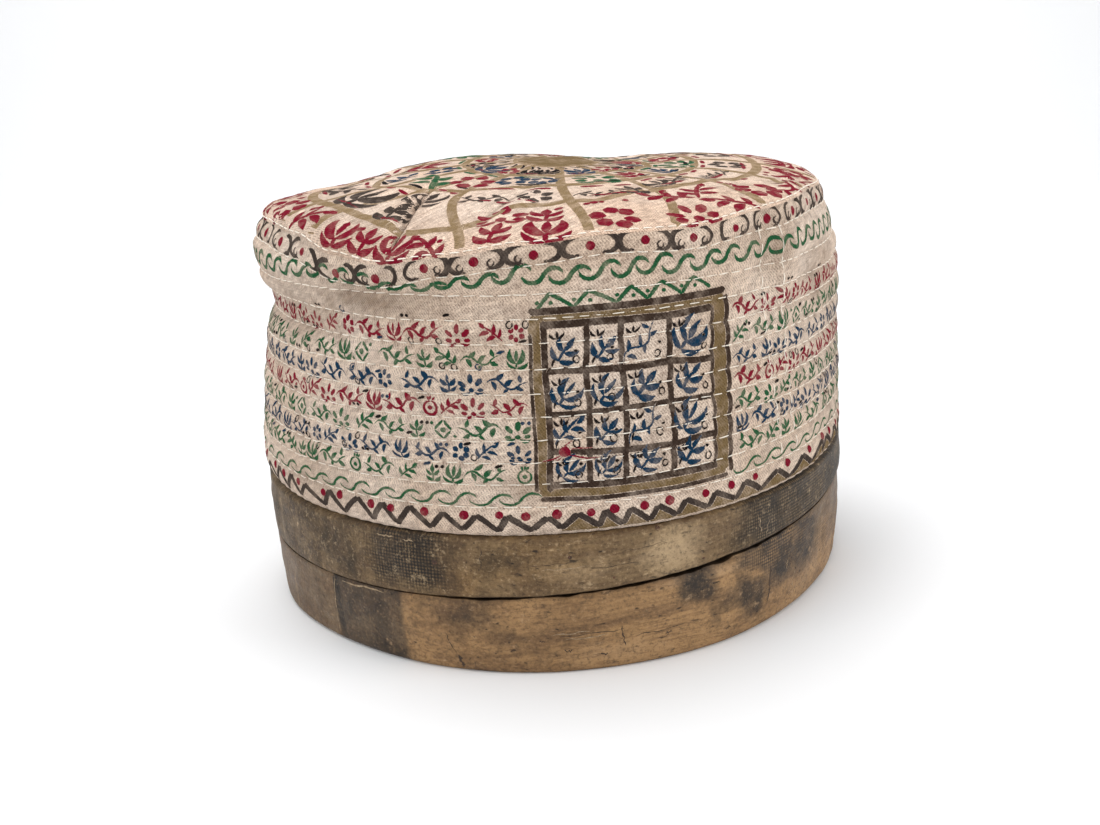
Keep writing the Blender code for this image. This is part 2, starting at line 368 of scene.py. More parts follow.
def makeCottonGroup():
    # Two thread directions over a fine twill, with slubs, mottling, soil mixed with painted shade in creases, and
    # painted shade darkening the gaps between the threads. Puts out the cloth's colour, the height of its threads
    # and a mask of the gaps between them.
    group, place, flat, soil, thread, base, dark, warm, grimeAndShade = newGroup(
        "cottonSurface", Place="Vector", Flat="Vector", Soil="Float", Thread="Float", Base="Color", Dark="Color",
        Warm="Color", Grime="Color")
    parts, wobble = node(group, "SeparateXYZ", Vector=flat), noise(flat, 0.3, 2) * 2.2
    x, y = (parts + wobble) / thread, (parts.out("Y") - wobble) / thread
    twill = ((x + y * 0.5) * 6.2832).sine()
    height = twill * 0.38 + (x * 5.3).sine() * (y * 5.3).sine() * 0.7
    slubs = noise(stretched(flat, 0.14, 1.7), 1, 2) + noise(stretched(flat, 1.7, 0.14), 1, 2)
    gaps = height.remap(-0.95, 0.15, 1, 0)
    mottle = noise(place, 260, 4, 0.65)
    colour = mix(noise(place, 34, 4).remap(0.36, 0.66), base, warm)
    # Mottling and slubs are the cotton's own tone; the gaps term is painted shade between the threads.
    for amount in (mottle.remap(0.46, 0.72, 0, 0.42), slubs.remap(0.92, 1.24, 0, 0.36), gaps * 0.58):
        colour = mix(amount, colour, dark)
    # The soil mask carries real soil and also painted shade in the crown's creases and the band's pinch; both darken
    # toward the grime colour.
    soil = soil * noise(place, 120, 4, 0.6).remap(0.32, 0.62, 0.25)
    soil = soil + noise(place, 55, 5, 0.6).remap(0.6, 0.8, 0, 0.3)
    return closeGroup(group, Color=mix(soil, colour, grimeAndShade), Height=height, Gaps=gaps)


def makeGrainGroup():
    # Long grain along X that shows its ends at the block's two ends: broad bands, fine fibres, short dark
    # pores and pale flakes, each a noise stretched along x, y and z, with its detail and roughness.
    group, place = newGroup("woodGrain", Place="Vector")
    bend = node(group, "VectorMath", settings=dict(operation="MULTIPLY_ADD"),
                i0=node(group, "TexNoise", "Color", Vector=place, Scale=16, Detail=2), i1=(0.03, 0.008, 0.01), i2=place)
    layers = dict(Grain=(9, 110, 190, 5, 0.62), Fibres=(45, 700, 1150, 4, 0.7), Pores=(200, 900, 900, 2, 0.5),
                  Flakes=(170, 330, 330, 5, 0.72))
    return closeGroup(group, **{label: noise(stretched(bend, *m[:3]), 1, *m[3:]) for label, m in layers.items()})


cottonGroup = makeCottonGroup()
grainGroup = makeGrainGroup()


def newMaterial(name):
    material = bpy.data.materials.new(name)
    material.use_nodes = True
    return material, node(material.node_tree, "TexCoord", "Object")


def finish(material, bump=None, **sockets):
    # Feeds the Principled shader; bump is a height, its distance and its strength.
    tree = material.node_tree
    if bump:
        sockets["Normal"] = node(tree, "Bump", Height=bump[0], Distance=bump[1], Strength=bump[2])
    for key, value in sockets.items():
        feed(tree.nodes["Principled BSDF"].inputs[key.replace("_", " ")], value)
    return material


# The grime colours stand for real soil and also for painted shade in creases and in the pinch.
cottonTones = dict(
    band=dict(Base=rgba(247, 227, 208), Dark=rgba(112, 86, 70), Warm=rgba(231, 206, 183), Grime=rgba(118, 94, 72)),
    crown=dict(Base=rgba(254, 231, 211), Dark=rgba(124, 94, 76), Warm=rgba(246, 214, 188), Grime=rgba(118, 92, 70)),
)
flatSize = dict(band=(558, 84), crown=(200, 200))    # millimetres that the surface coordinates span
flatFoot = 40                                        # height where the band's coordinates start
threadPitch = 0.8


def cottonOn(place, cloth):
    # The shared cotton, with its threads on the surface coordinates and its soil and painted shade from the mesh.
    tree = place.tree
    flat = stretched(node(tree, "UVMap", settings=dict(uv_map="surface")), *flatSize[cloth])
    colour = node(tree, "Group", "Color", dict(node_tree=cottonGroup), Place=place, Flat=flat,
                  Soil=attribute(tree, "soil"), Thread=threadPitch, **cottonTones[cloth])
    return colour, colour.out("Height")


def clothMaterial(name, cloth):
    material, place = newMaterial(name)
    colour, height = cottonOn(place, cloth)
    return finish(material, (height + noise(place, 420) * 1.2, 0.0003, 0.75), Base_Color=colour, Roughness=0.92,
                  Sheen_Weight=0.1, Sheen_Roughness=0.5, Specular_IOR_Level=0.2)


def inkMaterial(name, cloth, ink, thin):
    # Ink soaked into the cotton: it bleeds a little at its edges, thins where the nib ran dry, and leaves the
    # weave showing, with painted shade darkening it in the gaps between the threads.
    material, place = newMaterial(name)
    cotton, height = cottonOn(place, cloth)
    cover = (attribute(place.tree, "edge") + (noise(place, 1500, 2) - 0.5) * 0.5).remap(0.02, 0.17)
    dry = noise(place, 300, 3, 0.6).remap(0.45, 0.72, 1, 1 - thin)
    # Painted shade: the ink goes towards near-black in the gaps between the threads.
    inkWithGapShade = mix(cotton.out("Gaps") * 0.45, ink, rgba(14, 12, 12))
    return finish(material, (height, 0.0002, 0.5), Base_Color=mix(cover * dry, cotton, inkWithGapShade), Roughness=0.95,
                  Specular_IOR_Level=0.04)


def speckled(name, scale, spread, colour, other, **sockets):
    # Two colours, mixed by a fine noise.
    material, place = newMaterial(name)
    return finish(material, Base_Color=mix(noise(place, scale).remap(*spread), colour, other), **sockets)


bandMaterial = clothMaterial("beigeCotton", "band")
crownMaterial = clothMaterial("creamCotton", "crown")
threadMaterial = speckled("whiteThread", 900, (0.4, 0.7, 0, 0.6), rgba(253, 245, 232), rgba(224, 202, 176),
                          Roughness=0.8, Sheen_Weight=0.2)
inkColours = dict(    # and how far the dry pen thins each
    crimson=(rgba(126, 20, 42), 0.18), green=(rgba(38, 88, 56), 0.24), blue=(rgba(22, 54, 78), 0.18),
    black=(rgba(24, 20, 20), 0.06), grey=(rgba(64, 55, 50), 0.14), brown=(rgba(62, 49, 41), 0.26),
    olive=(rgba(120, 99, 68), 0.30), wash=(rgba(143, 120, 89), 0.36),
)
print("materials made")

# Soil and painted shade on the cloth as angle, half angle, height, half height and strength on the band, with
# darkening in the pinch that is partly grime and partly painted shade in the fold, a smear at the panel's lower
# corner and the handled ridge; as x, y, two reaches and strength on the crown.

bandSoilAndShade = [
    # The first two band spots darken the pinch: partly grime, partly painted shade in the fold.
    (-142, 20, 103.5, 6.5, 0.75), (-165, 26, 100, 12, 0.45), (-160, 30, 50, 10, 0.3), (-113, 7, 54, 5, 0.6),
    (-66, 8, 112, 14, 0.55), (-48, 16, 98, 14, 0.45), (-35, 22, 70, 34, 0.35), (-96, 17, 74, 28, 0.2),
    (120, 60, 60, 30, 0.3), (60, 40, 100, 20, 0.3)]
crownSoil = [
    (-66, -40, 16, 14, 0.35), (-78, -10, 10, 24, 0.4), (66, -46, 16, 12, 0.4), (0, 0, 30, 26, 0.35),
    (10, 60, 40, 22, 0.3)]


def creaseReach(x0, y0, x1, y1, halfWidth, x, y):
    # 1 on a crease's middle, falling to 0 at its half width and at its ends.
    dx, dy = x1 - x0, y1 - y0
    length = np.hypot(dx, dy)
    along = ((x - x0) * dx + (y - y0) * dy) / length ** 2
    away = ((x - x0) * dy - (y - y0) * dx) / length
    return bell(away / halfWidth) * bell(2 * along - 1) ** 0.5


def soilAndShadeOnCrown(x, y):
    # The spots, and painted shade in every crease that is deeper than 0.8 mm.
    spots = sum(amount * bell(np.hypot((x - x0) / reachX, (y - y0) / reachY) / 1.6)
                for x0, y0, reachX, reachY, amount in crownSoil)
    return spots + sum(creaseReach(*crease[:4], 0.9, x, y) for crease in creases if crease[5] < -0.8)


# Side band

bandCloth = dict(
    columns=720,
    stepsPerRow=8,
    puff=0.58,          # quilting between the sewn lines
    dimple=0.36,        # thread pulls the cloth in along each line
    stitch=4.5,         # pitch of the running stitches
    shift=0.37,         # of a pitch, from each line of stitches to the next
    insidePositions=[12, 11, 10.5, 10, 9.5, 9, 8.5, 8, 7, 6, 4.5, 3, 0],
)
bandAngle = wholeTurns(bandCloth["columns"])
arcAngle = np.linspace(-180, 180, 2881)
arcSteps = np.hypot(*np.diff(offsetOutline(arcAngle, 0), axis=1))
arcLength = np.append(0, np.cumsum(arcSteps))
fullArc = arcLength[-1]


def arcAt(angle):
    # Distance along the hem outline from angle -180, in millimetres.
    return np.interp(turnFrom(angle), arcAngle, arcLength)


def angleAt(arc):
    return np.interp(np.mod(arc, fullArc), arcLength, arcAngle)


def bandRelief(position, height):
    # Distance out from the wall: puffs between the sewn lines, as the sine of the half turn from one line to the
    # next, to the power three quarters; then dimples at the stitches,
    # small puckers beside the lines, broad unevenness, and the turned edge of the joint with its gathers.
    arc = arcAt(bandAngle)[None]
    u, v = arc / fullArc, height / 140
    row = np.minimum(position.astype(int), seamLine - 1)[:, None]
    share = position[:, None] - row
    lines = allLines(bandAngle)
    toLine = np.minimum(share, 1 - share) * np.abs(np.diff(lines, axis=0))[row[:, 0]]
    toSeam = lines[seamLine] - height
    puff = bandCloth["puff"] * (1 + 0.45 * softNoise(11, 46, 14, u, (row + 0.5) / 14))
    beat = np.cos(2 * np.pi * (arc / bandCloth["stitch"] + np.round(position)[:, None] * bandCloth["shift"]))
    pucker = softNoise(12, 150, 26, u, v) + 0.6 * softNoise(13, 96, 16, u, v)
    relief = puff * np.sin(np.pi * np.clip(share, 0, 1)) ** 0.75
    relief = relief - bandCloth["dimple"] * np.exp(-(toLine / 0.8) ** 2) * (1 + 0.45 * beat)
    relief = relief + 0.1 * pucker * np.exp(-(toLine / 2.4) ** 2)
    relief = relief + 0.34 * softNoise(14, 20, 9, u, v) + 0.17 * softNoise(15, 52, 18, u + 0.15 * v, v)
    relief = relief * ease(0.15 + toSeam / 3)
    gather = np.exp(-(turnFrom(bandAngle, -65.4) / 9) ** 2) * ease((height - 88) / 22)
    relief = relief + 0.6 * gather * softNoise(16, 110, 44, u, v)
    fromFold = arc - 179.8 - jointLean * np.clip(102 - height, 0, 40)
    return relief + np.exp(-(fromFold / 1.2) ** 2) * ease((height - 62) / 40) * ease(toSeam / 4)


def makeBandWall():
    position = np.arange(seamLine * bandCloth["stepsPerRow"] + 1) / bandCloth["stepsPerRow"]
    height = ringHeights(bandAngle, position)
    wall = wallAt(bandAngle, height, wallPush(bandAngle, height))
    return wall + gridNormals(wall) * bandRelief(position, height)[..., None]


bandWall = makeBandWall()


def makeBand():
    # The wall, a rolled hem below it, a turned-in edge above it, and the plain inside.
    thick = capShape["cloth"]
    out = unit(gridNormals(bandWall)[0] * [1, 1, 0])
    roll = np.radians([150, 112, 75, 38])[:, None, None]
    rolled = bandWall[0] + out * thick / 2 * (np.cos(roll) - 1) + np.array([0, 0, -0.8]) * np.sin(roll)
    height = ringHeights(bandAngle, np.array(bandCloth["insidePositions"]))
    height[0] -= 0.15
    inner = wallAt(bandAngle, height, wallPush(bandAngle, height) - thick)
    rings = np.concatenate([rolled, bandWall, inner])
    count, columns = rings.shape[:2]
    v = np.concatenate([rolled[..., 2] - 1, bandWall[..., 2], inner[..., 2], rolled[:1, :, 2]]) - flatFoot
    v = v[:, np.arange(columns + 1) % columns] / flatSize["band"][1]
    uv = np.stack([np.arange(columns + 1) / columns + 0 * v, v], axis=2).reshape(-1, 2)
    soil = spotsAt(bandAngle, rings[..., 2], bandSoilAndShade)
    soil[-len(inner):] = 0
    faces = ringFaces(count + 1, columns) % (count * columns)
    return addPiece("sideBand", rings, faces.tolist(), bandMaterial, "band_cloth",
                    uv[stripFaces(count + 1, columns + 1)[:, [0, 3, 2, 1]]], dict(soil=soil), "cap_side_band")


sideBand = makeBand()


def onBand(flat, lift):
    # Points of the band from distances around and heights, lifted off the cloth.
    angle, height = angleAt(flat[:, 0]), flat[:, 1]
    lines, pick = allLines(angle), np.arange(len(flat))
    below = np.clip((height >= lines).sum(axis=0) - 1, 0, seamLine - 1)
    row = below + (height - lines[below, pick]) / (lines[below + 1, pick] - lines[below, pick])
    column = (angle + 180) / 360 * bandCloth["columns"]
    return lifted(bandWall, np.clip(row, 0, seamLine) * bandCloth["stepsPerRow"], column, lift)


# Crown

crownCloth = dict(columns=640, rings=132, underShares=[1, 0.9, 0.78, 0.64, 0.48, 0.3, 0.14])

# Creases as their ends in plan, half width and rise; a sharp dip runs beside a low ridge.
creases = [
    (-48, -60, -20, -34, 4, -0.9), (-42, -62, -12, -30, 5, 0.6), (-42, -14, -70, -58, 1.4, -1.4),
    (-46, -14, -74, -56, 3, 0.7), (-66, -42, -38, -30, 5, 0.7), (-74, -22, -40, -18, 5, -0.6),
    (4, -66, 12, -36, 3.5, -0.5), (44, -50, 74, -34, 3, -1), (50, -58, 66, -24, 3.5, 0.6),
    (30, -62, 44, -34, 4, -0.5), (-20, -10, 20, 14, 7, 0.5), (20, 20, 60, 34, 7, -0.7), (-60, 20, -30, 50, 7, 0.8)]


def crownRelief(plan, fromRim):
    # Creases, broad sags, fine unevenness, and puckers and a low turned-in ridge near the seam.
    x, y = plan[..., 0], plan[..., 1]
    u, v = x / 220 + 0.5, y / 220 + 0.5
    relief = 0.5 * softNoise(31, 9, 9, u, v) + 0.26 * softNoise(32, 24, 24, u, v) + 0.1 * softNoise(33, 58, 58, u, v)
    relief = relief + sum(crease[5] * creaseReach(*crease[:5], x, y) for crease in creases)
    turn = (crownAngle + 180) / 360
    gather = softNoise(34, 88, 3, turn, 0) + 0.5 * softNoise(35, 150, 3, turn, 0)
    return relief * ease(fromRim / 6) + 0.22 * gather * np.exp(-fromRim / 7) * ease(fromRim / 1.5)


def crownBase(share, inset=0):
    # Rings from the seam (share 1) to the middle (share 0): plan and height follow a superellipse whose
    # squareness changes around the cap, with the humps and sags added.
    share = np.asarray(share)[:, None]
    seam, power = aroundCap("seamHeight", crownAngle), 2 / aroundCap("squareness", crownAngle)
    rim = offsetOutline(crownAngle, wallPush(crownAngle, seam) - inset)
    turn = share * np.pi / 2
    reach = np.sin(turn) ** power
    x, y = rim[:, None] * reach
    z = seam + (capShape["crownTop"] - seam) * np.cos(turn).clip(0) ** power - inset * (1 - share ** 6)
    for x0, y0, reachX, reachY, rise in lumps:
        z = z + rise * np.exp(-((x - x0) / reachX) ** 2 - ((y - y0) / reachY) ** 2) * (1 - reach ** 6)
    return np.stack([x, y, z], axis=2)


# The crown laid flat: each point keeps its direction from the middle and its distance along the cloth.
crownAngle = wholeTurns(crownCloth["columns"])
crownWall = crownBase(np.linspace(1, 0.012, crownCloth["rings"]))
crownTurn = np.degrees(np.unwrap(np.arctan2(crownWall[0, :, 1], crownWall[0, :, 0])))
innermost = np.hypot(crownWall[-1:, :, 0], crownWall[-1:, :, 1])
ringSteps = np.linalg.norm(np.diff(crownWall[::-1], axis=0), axis=2)
crownFlat = np.cumsum(np.concatenate([innermost, ringSteps]), axis=0)[::-1]
flatShares = np.linspace(0, 1, 300)
ringNumbers = np.arange(crownCloth["rings"])[::-1]
rowAtShare = np.stack([np.interp(flatShares, column[::-1] / column[0], ringNumbers) for column in crownFlat.T], axis=1)
crownWall = crownWall + gridNormals(crownWall) * crownRelief(crownWall[..., :2], crownFlat[0] - crownFlat)[..., None]


def onCrown(flat, lift):
    # Points of the crown from places on the crown laid flat, lifted off the cloth.
    turn = np.mod(np.degrees(np.arctan2(flat[:, 1], flat[:, 0])) - crownTurn[0], 360)
    stops = np.append(crownTurn - crownTurn[0], 360)
    column = np.interp(turn, stops, np.arange(len(stops)))
    rim = np.interp(turn, stops, np.append(crownFlat[0], crownFlat[0, 0]))
    share = np.clip(np.hypot(flat[:, 0], flat[:, 1]) / rim, 0, 0.9995)
    row = onGrid(rowAtShare[..., None], share * (len(flatShares) - 1), column)[..., 0]
    return lifted(crownWall, row, column, lift)


def makeCrown():
    # Outer rings from the rim to the middle and a closing point, then the underside back to the rim.
    under = crownBase(crownCloth["underShares"], capShape["cloth"])
    under[0, :, 2] += 0.3
    points, quads, ends = closedRings(np.concatenate([crownWall[::-1], under]))
    laid = polar(crownTurn, crownFlat[::-1])
    laid = np.concatenate([laid.reshape(-1, 2), under[..., :2].reshape(-1, 2), np.zeros((2, 2))])
    faces = quads[:, ::-1].tolist() + ends[:, ::-1].tolist()
    uv = laid[np.concatenate(faces)] / flatSize["crown"] + 0.5
    return addPiece("crownTop", points, faces, crownMaterial, "crown_cloth", uv,
                    dict(soil=soilAndShadeOnCrown(points[:, 0], points[:, 1])), "cap_crown")


crownTop = makeCrown()
print("cloth made")

# Ink drawing: every stroke is a narrow strip that lies on the cloth, gathered by colour and by cloth.
# Flat places are (distance around, height) on the band and (x, y) on the crown laid flat, in millimetres.

inkStrips = {}
inkLift = dict(wash=(0.05, 0.03), line=(0.1, 0.05), over=(0.14, 0.08))    # height at the middle and at the edges


def addStrip(cloth, colour, left, right, lanes=3, layer="line"):
    # A strip between two lines of points, raised along its middle; it keeps each point's distance to its edge.
    share = np.linspace(0, 1, lanes)[:, None]
    inner = 1 - np.abs(2 * share[:, 0] - 1)
    edge = 0.5 * np.linalg.norm(right - left, axis=1)[:, None] * inner
    lift = np.where(inner > 0, *inkLift[layer]) + 0 * edge
    strip = np.dstack([left[:, None] * (1 - share) + right[:, None] * share, lift, edge])
    inkStrips.setdefault((cloth, colour), []).append(strip)


def stroke(cloth, colour, line, width, lanes=3, layer="line", form="pen"):
    # A line drawn with some width: a pen stroke has rounded ends and swells a little in its middle, a leaf
    # is pointed at both ends, and a bar keeps its width.
    t = np.linspace(0, 1, len(line))
    if form == "pen":
        swell = np.sqrt(np.clip(1 - np.abs(2 * t - 1) ** 6, 0.02, 1)) * (0.78 + 0.22 * np.sin(np.pi * t))
    elif form == "leaf":
        swell = np.sin(np.pi * (0.04 + 0.92 * t) ** 0.85) ** 0.8
    else:
        length = np.linalg.norm(np.diff(line, axis=0), axis=1).sum()
        cap = np.clip(np.minimum(t, 1 - t) * length / (0.42 * width), 0, 1)
        swell = np.sqrt(np.clip(cap * (2 - cap), 0.02, 1))
    side = unit(np.gradient(line, axis=0))[:, ::-1] * [-1, 1] * (0.5 * width * swell)[:, None]
    addStrip(cloth, colour, line - side, line + side, lanes, layer)


def curve(start, end, bow=0, step=0.6, sway=0):
    # A bowed line from start to end: bow is its height as a share of its length, sway an S bend.
    across = np.subtract(end, start)
    t = np.linspace(0, 1, max(4, int(np.hypot(*across) * (1 + abs(bow)) / step) + 2))[:, None]
    bend = bow * 4 * t * (1 - t) + sway * np.sin(2 * np.pi * t)
    return np.array(start) + across * t + across[::-1] * [-1, 1] * bend


def curl(centre, radius, start, sweep, shrink=0.45, tall=1, step=0.5):
    # A curl about centre from an angle through a sweep, both in turns, as its radius shrinks.
    t = np.linspace(0, 1, max(9, int(abs(sweep) * 6.3 * radius / step)))
    return polar(360 * (start + sweep * t), radius * (1 - (1 - shrink) * t)) * [1, tall] + centre


def rounded(points):
    # A line through a few points with its corners cut twice.
    points = np.array(points)
    for _ in range(2):
        a, b = points[:-1], points[1:]
        cut = np.stack([0.75 * a + 0.25 * b, 0.25 * a + 0.75 * b], axis=1).reshape(-1, 2)
        points = np.concatenate([points[:1], cut[1:-1], points[-1:]])
    return points


def halfCircle(count):
    # Places from -1 to 1 that are closer at the ends, and the half height of a circle there.
    t = np.sin(np.linspace(-0.97, 0.97, count) * np.pi / 2)
    return t, np.sqrt(1 - t * t)


def dot(cloth, colour, centre, radius, lanes=5, layer="line"):
    t, half = halfCircle(9 if radius < 3 else 40)
    low, high = (np.stack([t, side * half], 1) * radius + centre for side in (-1, 1))
    addStrip(cloth, colour, low, high, lanes, layer)


def placed(points, x, y=0, turn=0):
    c, s = np.cos(np.radians(turn)), np.sin(np.radians(turn))
    return points @ [[c, s], [-s, c]] + [x, y]


def lineAt(line, around):
    # Height of a sewn line at distances around the band.
    return allLines(angleAt(np.atleast_1d(around)))[line]


def onRow(line, points):
    # Row drawing, with heights counted from a sewn line, as distances around and true heights.
    return np.stack([points[:, 0], points[:, 1] + lineAt(line, points[:, 0])], axis=1)


def rowStroke(colour, line, points, *form, **named):
    stroke("band", colour, onRow(line, points), *form, **named)


def rowDot(colour, line, x, y, radius, lanes=5):
    dot("band", colour, (x, y + lineAt(line, x)[0]), radius, lanes)


# The ornaments, in shares of their height with the foot at 0, 0, each after its width: leaf and stem as start,
# end, bow and width; pair as a leaf that is drawn with its mirror image; fan of leaves as centre, inner and outer
# radius, first and last turn, count and width; curl as centre, radius, start, sweep, shrink and width; path as
# points and width; dot as centre and radius.
ornaments = dict(
    rosette=(1.06, [("fan", 0, 0.5, 0.16, 0.5, 90, 390, 6, 0.27)]),
    palmette=(1.3, [("fan", 0, 0.1, 0.34, 0.84, 42, 138, 3, 0.24), ("fan", 0, 0.1, 0.3, 0.66, 8, 172, 2, 0.22),
        ("dot", 0, 0.14, 0.12), ("pair", -0.1, 0.06, -0.62, 0.02, 0.22, 0.16)]),
    sprig=(0.98, [("stem", 0, 0, 0, 0.7, 0.04, 0.13), ("leaf", 0, 0.5, 0.02, 1, 0, 0.22),
        ("pair", 0, 0.08, -0.46, 0.36, 0.15, 0.22), ("pair", 0, 0.42, -0.38, 0.78, 0.15, 0.22)]),
    vine=(2.3, [
        ("path", [(-1.2, 0.4), (-0.9, 0.72), (-0.5, 0.72), (-0.1, 0.3), (0.3, 0.2), (0.7, 0.6), (1.15, 0.72)], 0.14),
        ("leaf", -0.66, 0.7, -0.2, 1.02, -0.1, 0.24), ("leaf", -0.8, 0.6, -0.6, 0.12, 0.15, 0.24),
        ("leaf", -0.1, 0.34, 0.3, 0.72, 0.1, 0.24), ("leaf", 0.1, 0.24, -0.2, -0.02, -0.1, 0.2),
        ("leaf", 0.5, 0.4, 0.92, 0.2, -0.12, 0.24), ("leaf", 0.74, 0.62, 0.62, 1.02, 0.1, 0.22)]),
    lozenge=(1.5, [("stem", -0.5, 0.5, 0, 1, 0, 0.15), ("stem", 0, 1, 0.5, 0.5, 0, 0.15),
        ("stem", 0.5, 0.5, 0, 0, 0, 0.15), ("stem", 0, 0, -0.5, 0.5, 0, 0.15), ("dot", 0, 0.5, 0.14),
        ("dot", -0.64, 0.84, 0.09), ("dot", 0.64, 0.16, 0.09)]),
    fern=(1.3, [("stem", -0.55, 0.04, 0.5, 0.9, 0.05, 0.13), ("leaf", -0.3, 0.24, -0.46, 0.72, 0.1, 0.21),
        ("leaf", -0.02, 0.46, -0.12, 0.96, 0.1, 0.21), ("leaf", -0.2, 0.3, 0.28, 0.1, 0.12, 0.21),
        ("leaf", 0.08, 0.54, 0.6, 0.4, 0.12, 0.21), ("leaf", 0.34, 0.76, 0.66, 1, 0, 0.22)]),
    pomegranate=(0.95, [("curl", 0, 0.4, 0.36, 0.25, 1.02, 0.98, 0.16),
        ("fan", 0, 0.72, 0.06, 0.32, 48, 132, 3, 0.16), ("dot", 0, 0.4, 0.12)]),
    tulip=(1.15, [("pair", 0, 0.26, -0.32, 1, 0.24, 0.26), ("leaf", 0, 0.36, 0, 1, 0, 0.2),
        ("stem", 0, 0, 0, 0.34, 0, 0.13), ("pair", 0, 0.02, -0.56, 0.4, 0.18, 0.2)]),
)


def drawOrnament(cloth, colour, name, rng, size, place, layer="line", bold=1):
    # One ornament drawn by hand: place carries its points, in millimetres about its foot, onto the cloth.
    for kind, *m in ornaments[name][1]:
        if kind == "dot":
            dot(cloth, colour, place(np.array([m[:2]]) * size)[0], m[2] * size * bold, layer=layer)
            continue
        if kind == "path":
            lines = [rounded(m[0])]
        elif kind == "curl":
            lines = [curl(m[:2], *m[2:6], step=0.12)]
        elif kind == "fan":
            x, y, inner, outer, first, last, count, _ = m
            rays = np.linspace(first, last, count) + rng.normal(0, 3, count)
            lines = [curve(polar(ray, inner), polar(ray, outer), step=0.1) + [x, y] for ray in rays]
        else:
            line = curve(m[:2], m[2:4], m[4], 0.1)
            lines = [line, line * [-1, 1]] if kind == "pair" else [line]
        for points in lines:
            points = placed(points * size, *rng.normal(0, 0.012 * size, 2), rng.normal(0, 1.6))
            width = m[-1] * size * bold * rng.uniform(0.86, 1.14)
            stroke(cloth, colour, place(points), width, 3, layer, "leaf" if kind in ("leaf", "pair") else "pen")


panel = dict(
    left=101.6, right=158, bottom=50.4, top=101.8,
    columns=[116, 125.6, 138.8], rows=[85.2, 74.4, 63.6],       # middles of the inner bars
    edge=4.6,                                                   # from the frame's outside to the cells
    ornaments=("fern", "sprig", "vine", "tulip"),
)
besidePanel = dict(rows=(1.4, -0.8), waves=(1.8, -0.6))         # where they start and end, from the panel's sides


def roundFromPanel(kind):
    # Distances from the panel's right side to its left, once around the back.
    start, end = besidePanel[kind]
    return panel["right"] + start, panel["left"] + end + fullArc


def accent(rng, line, x, y):
    # The small dark marks over a row: a ring, a dash, a pair of dots.
    kind, colour = rng.random(), "black" if rng.random() < 0.8 else "blue"
    if kind < 0.3:
        rowStroke(colour, line, placed(curl((0, 0), 0.8, 0.1, 1.08, 1, 1.1), x, y), 0.66, layer="over")
    elif kind < 0.72:
        rowStroke(colour, line, placed(curve((-1.2, -0.1), (1.2, 0.4), 0.05), x, y), 1, layer="over")
    else:
        for shift in (-0.85, 0.8):
            dot("band", colour, (x + shift, y + lineAt(line, x)[0]), 0.58, layer="over")


# Rows between the sewn lines: colour, and the ornaments that follow each other in them.
rowDrawing = {
    8: ("crimson", "vine palmette fern rosette vine tulip"),
    7: ("green", "fern vine tulip lozenge vine sprig"),
    6: ("blue", "vine rosette vine sprig palmette vine"),
    5: ("crimson", "tulip vine pomegranate fern palmette vine"),
    4: ("green", "vine sprig lozenge vine palmette fern"),
    3: ("blue", "palmette vine tulip vine rosette fern"),
    2: ("green", "vine pomegranate vine fern sprig tulip"),
}


def drawRows():
    # The ornaments of each row are set side by side, then spread to fill it.
    start, end = roundFromPanel("rows")
    for line, (colour, names) in rowDrawing.items():
        rng, names = newRandom(100 + line), names.split()
        row, filled, k = [], 0, int(rng.integers(0, 5))
        while True:
            name, size = names[k % len(names)], 5.3 * rng.uniform(0.9, 1.05)
            wide = ornaments[name][0] * size
            pause = rng.uniform(-0.1, 0.3) if rng.random() < 0.84 else rng.uniform(1.4, 2.8)
            if filled + wide > end - start:
                break
            row.append((name, size, filled + wide / 2, wide))
            filled += wide + pause
            k += 1
        spare = (end - start - row[-1][2] - row[-1][3] / 2) / len(row)
        for k, (name, size, middle, wide) in enumerate(row):
            middle, lean, flip = start + middle + spare * (k + 0.5), rng.uniform(-5, 5), rng.choice([-1, 1])
            drawOrnament("band", colour, name, rng, size,
                         lambda p: onRow(line, placed(p * [flip, 1], middle, 0.45, lean)), bold=1.2)
            for side in (-1, 1):
                if rng.random() < 0.36:
                    x = middle + side * wide * rng.uniform(0.24, 0.5)
                    accent(rng, line, x, rng.choice([rng.uniform(4.5, 5.1), rng.uniform(7.2, 7.7)]))


waveShape = rounded([(-0.14, 0.62), (-0.12, 0.34), (0.04, 0.04), (0.28, 0), (0.48, 0.22), (0.62, 0.7), (0.8, 1),
                     (1.02, 1.02), (1.17, 0.84), (1.24, 0.6)])


def drawWaves():
    # Running scrolls in green under the crossed scrolls and over the hem: each starts under the crest before
    # it, dips to its trough, climbs to its own crest and curls over. The upper ones flatten in the pinch.
    above, below = (1.6, fullArc + 1.6), roundFromPanel("waves")
    for line, seed, pitch, (start, end) in ((10, 210, 7.7, above), (1, 211, 8.3, below)):
        rng, count = newRandom(seed), int(round((end - start) / pitch))
        wide = (end - start) / count
        for k in range(count):
            x = start + wide * (k + rng.uniform(-0.08, 0.08))
            flat = 1 - 0.62 * bell(turnFrom(angleAt(x), -136) / 20)
            low, tall, width = (0.6 + 2.3 * flat, 3.9 * flat, 1.05 + 0.4 * flat) if line == 10 else (0.7, 3.2, 0.98)
            wider, lower, taller = rng.uniform([0.96, 0.85, 0.88], [1.06, 1.15, 1.1])
            rowStroke("green", line, waveShape * [wide * wider, tall * taller] + [x, low * lower], width)


upperZigzag = [
    (103.8, 2.2), (107.3, 6.2), (113.4, 2.6), (117.5, 6.3), (124.7, 2.9), (129.1, 6.5), (133.2, 3), (137.8, 6.9),
    (143.2, 3.2), (147.4, 6.9), (152.6, 3.6)]


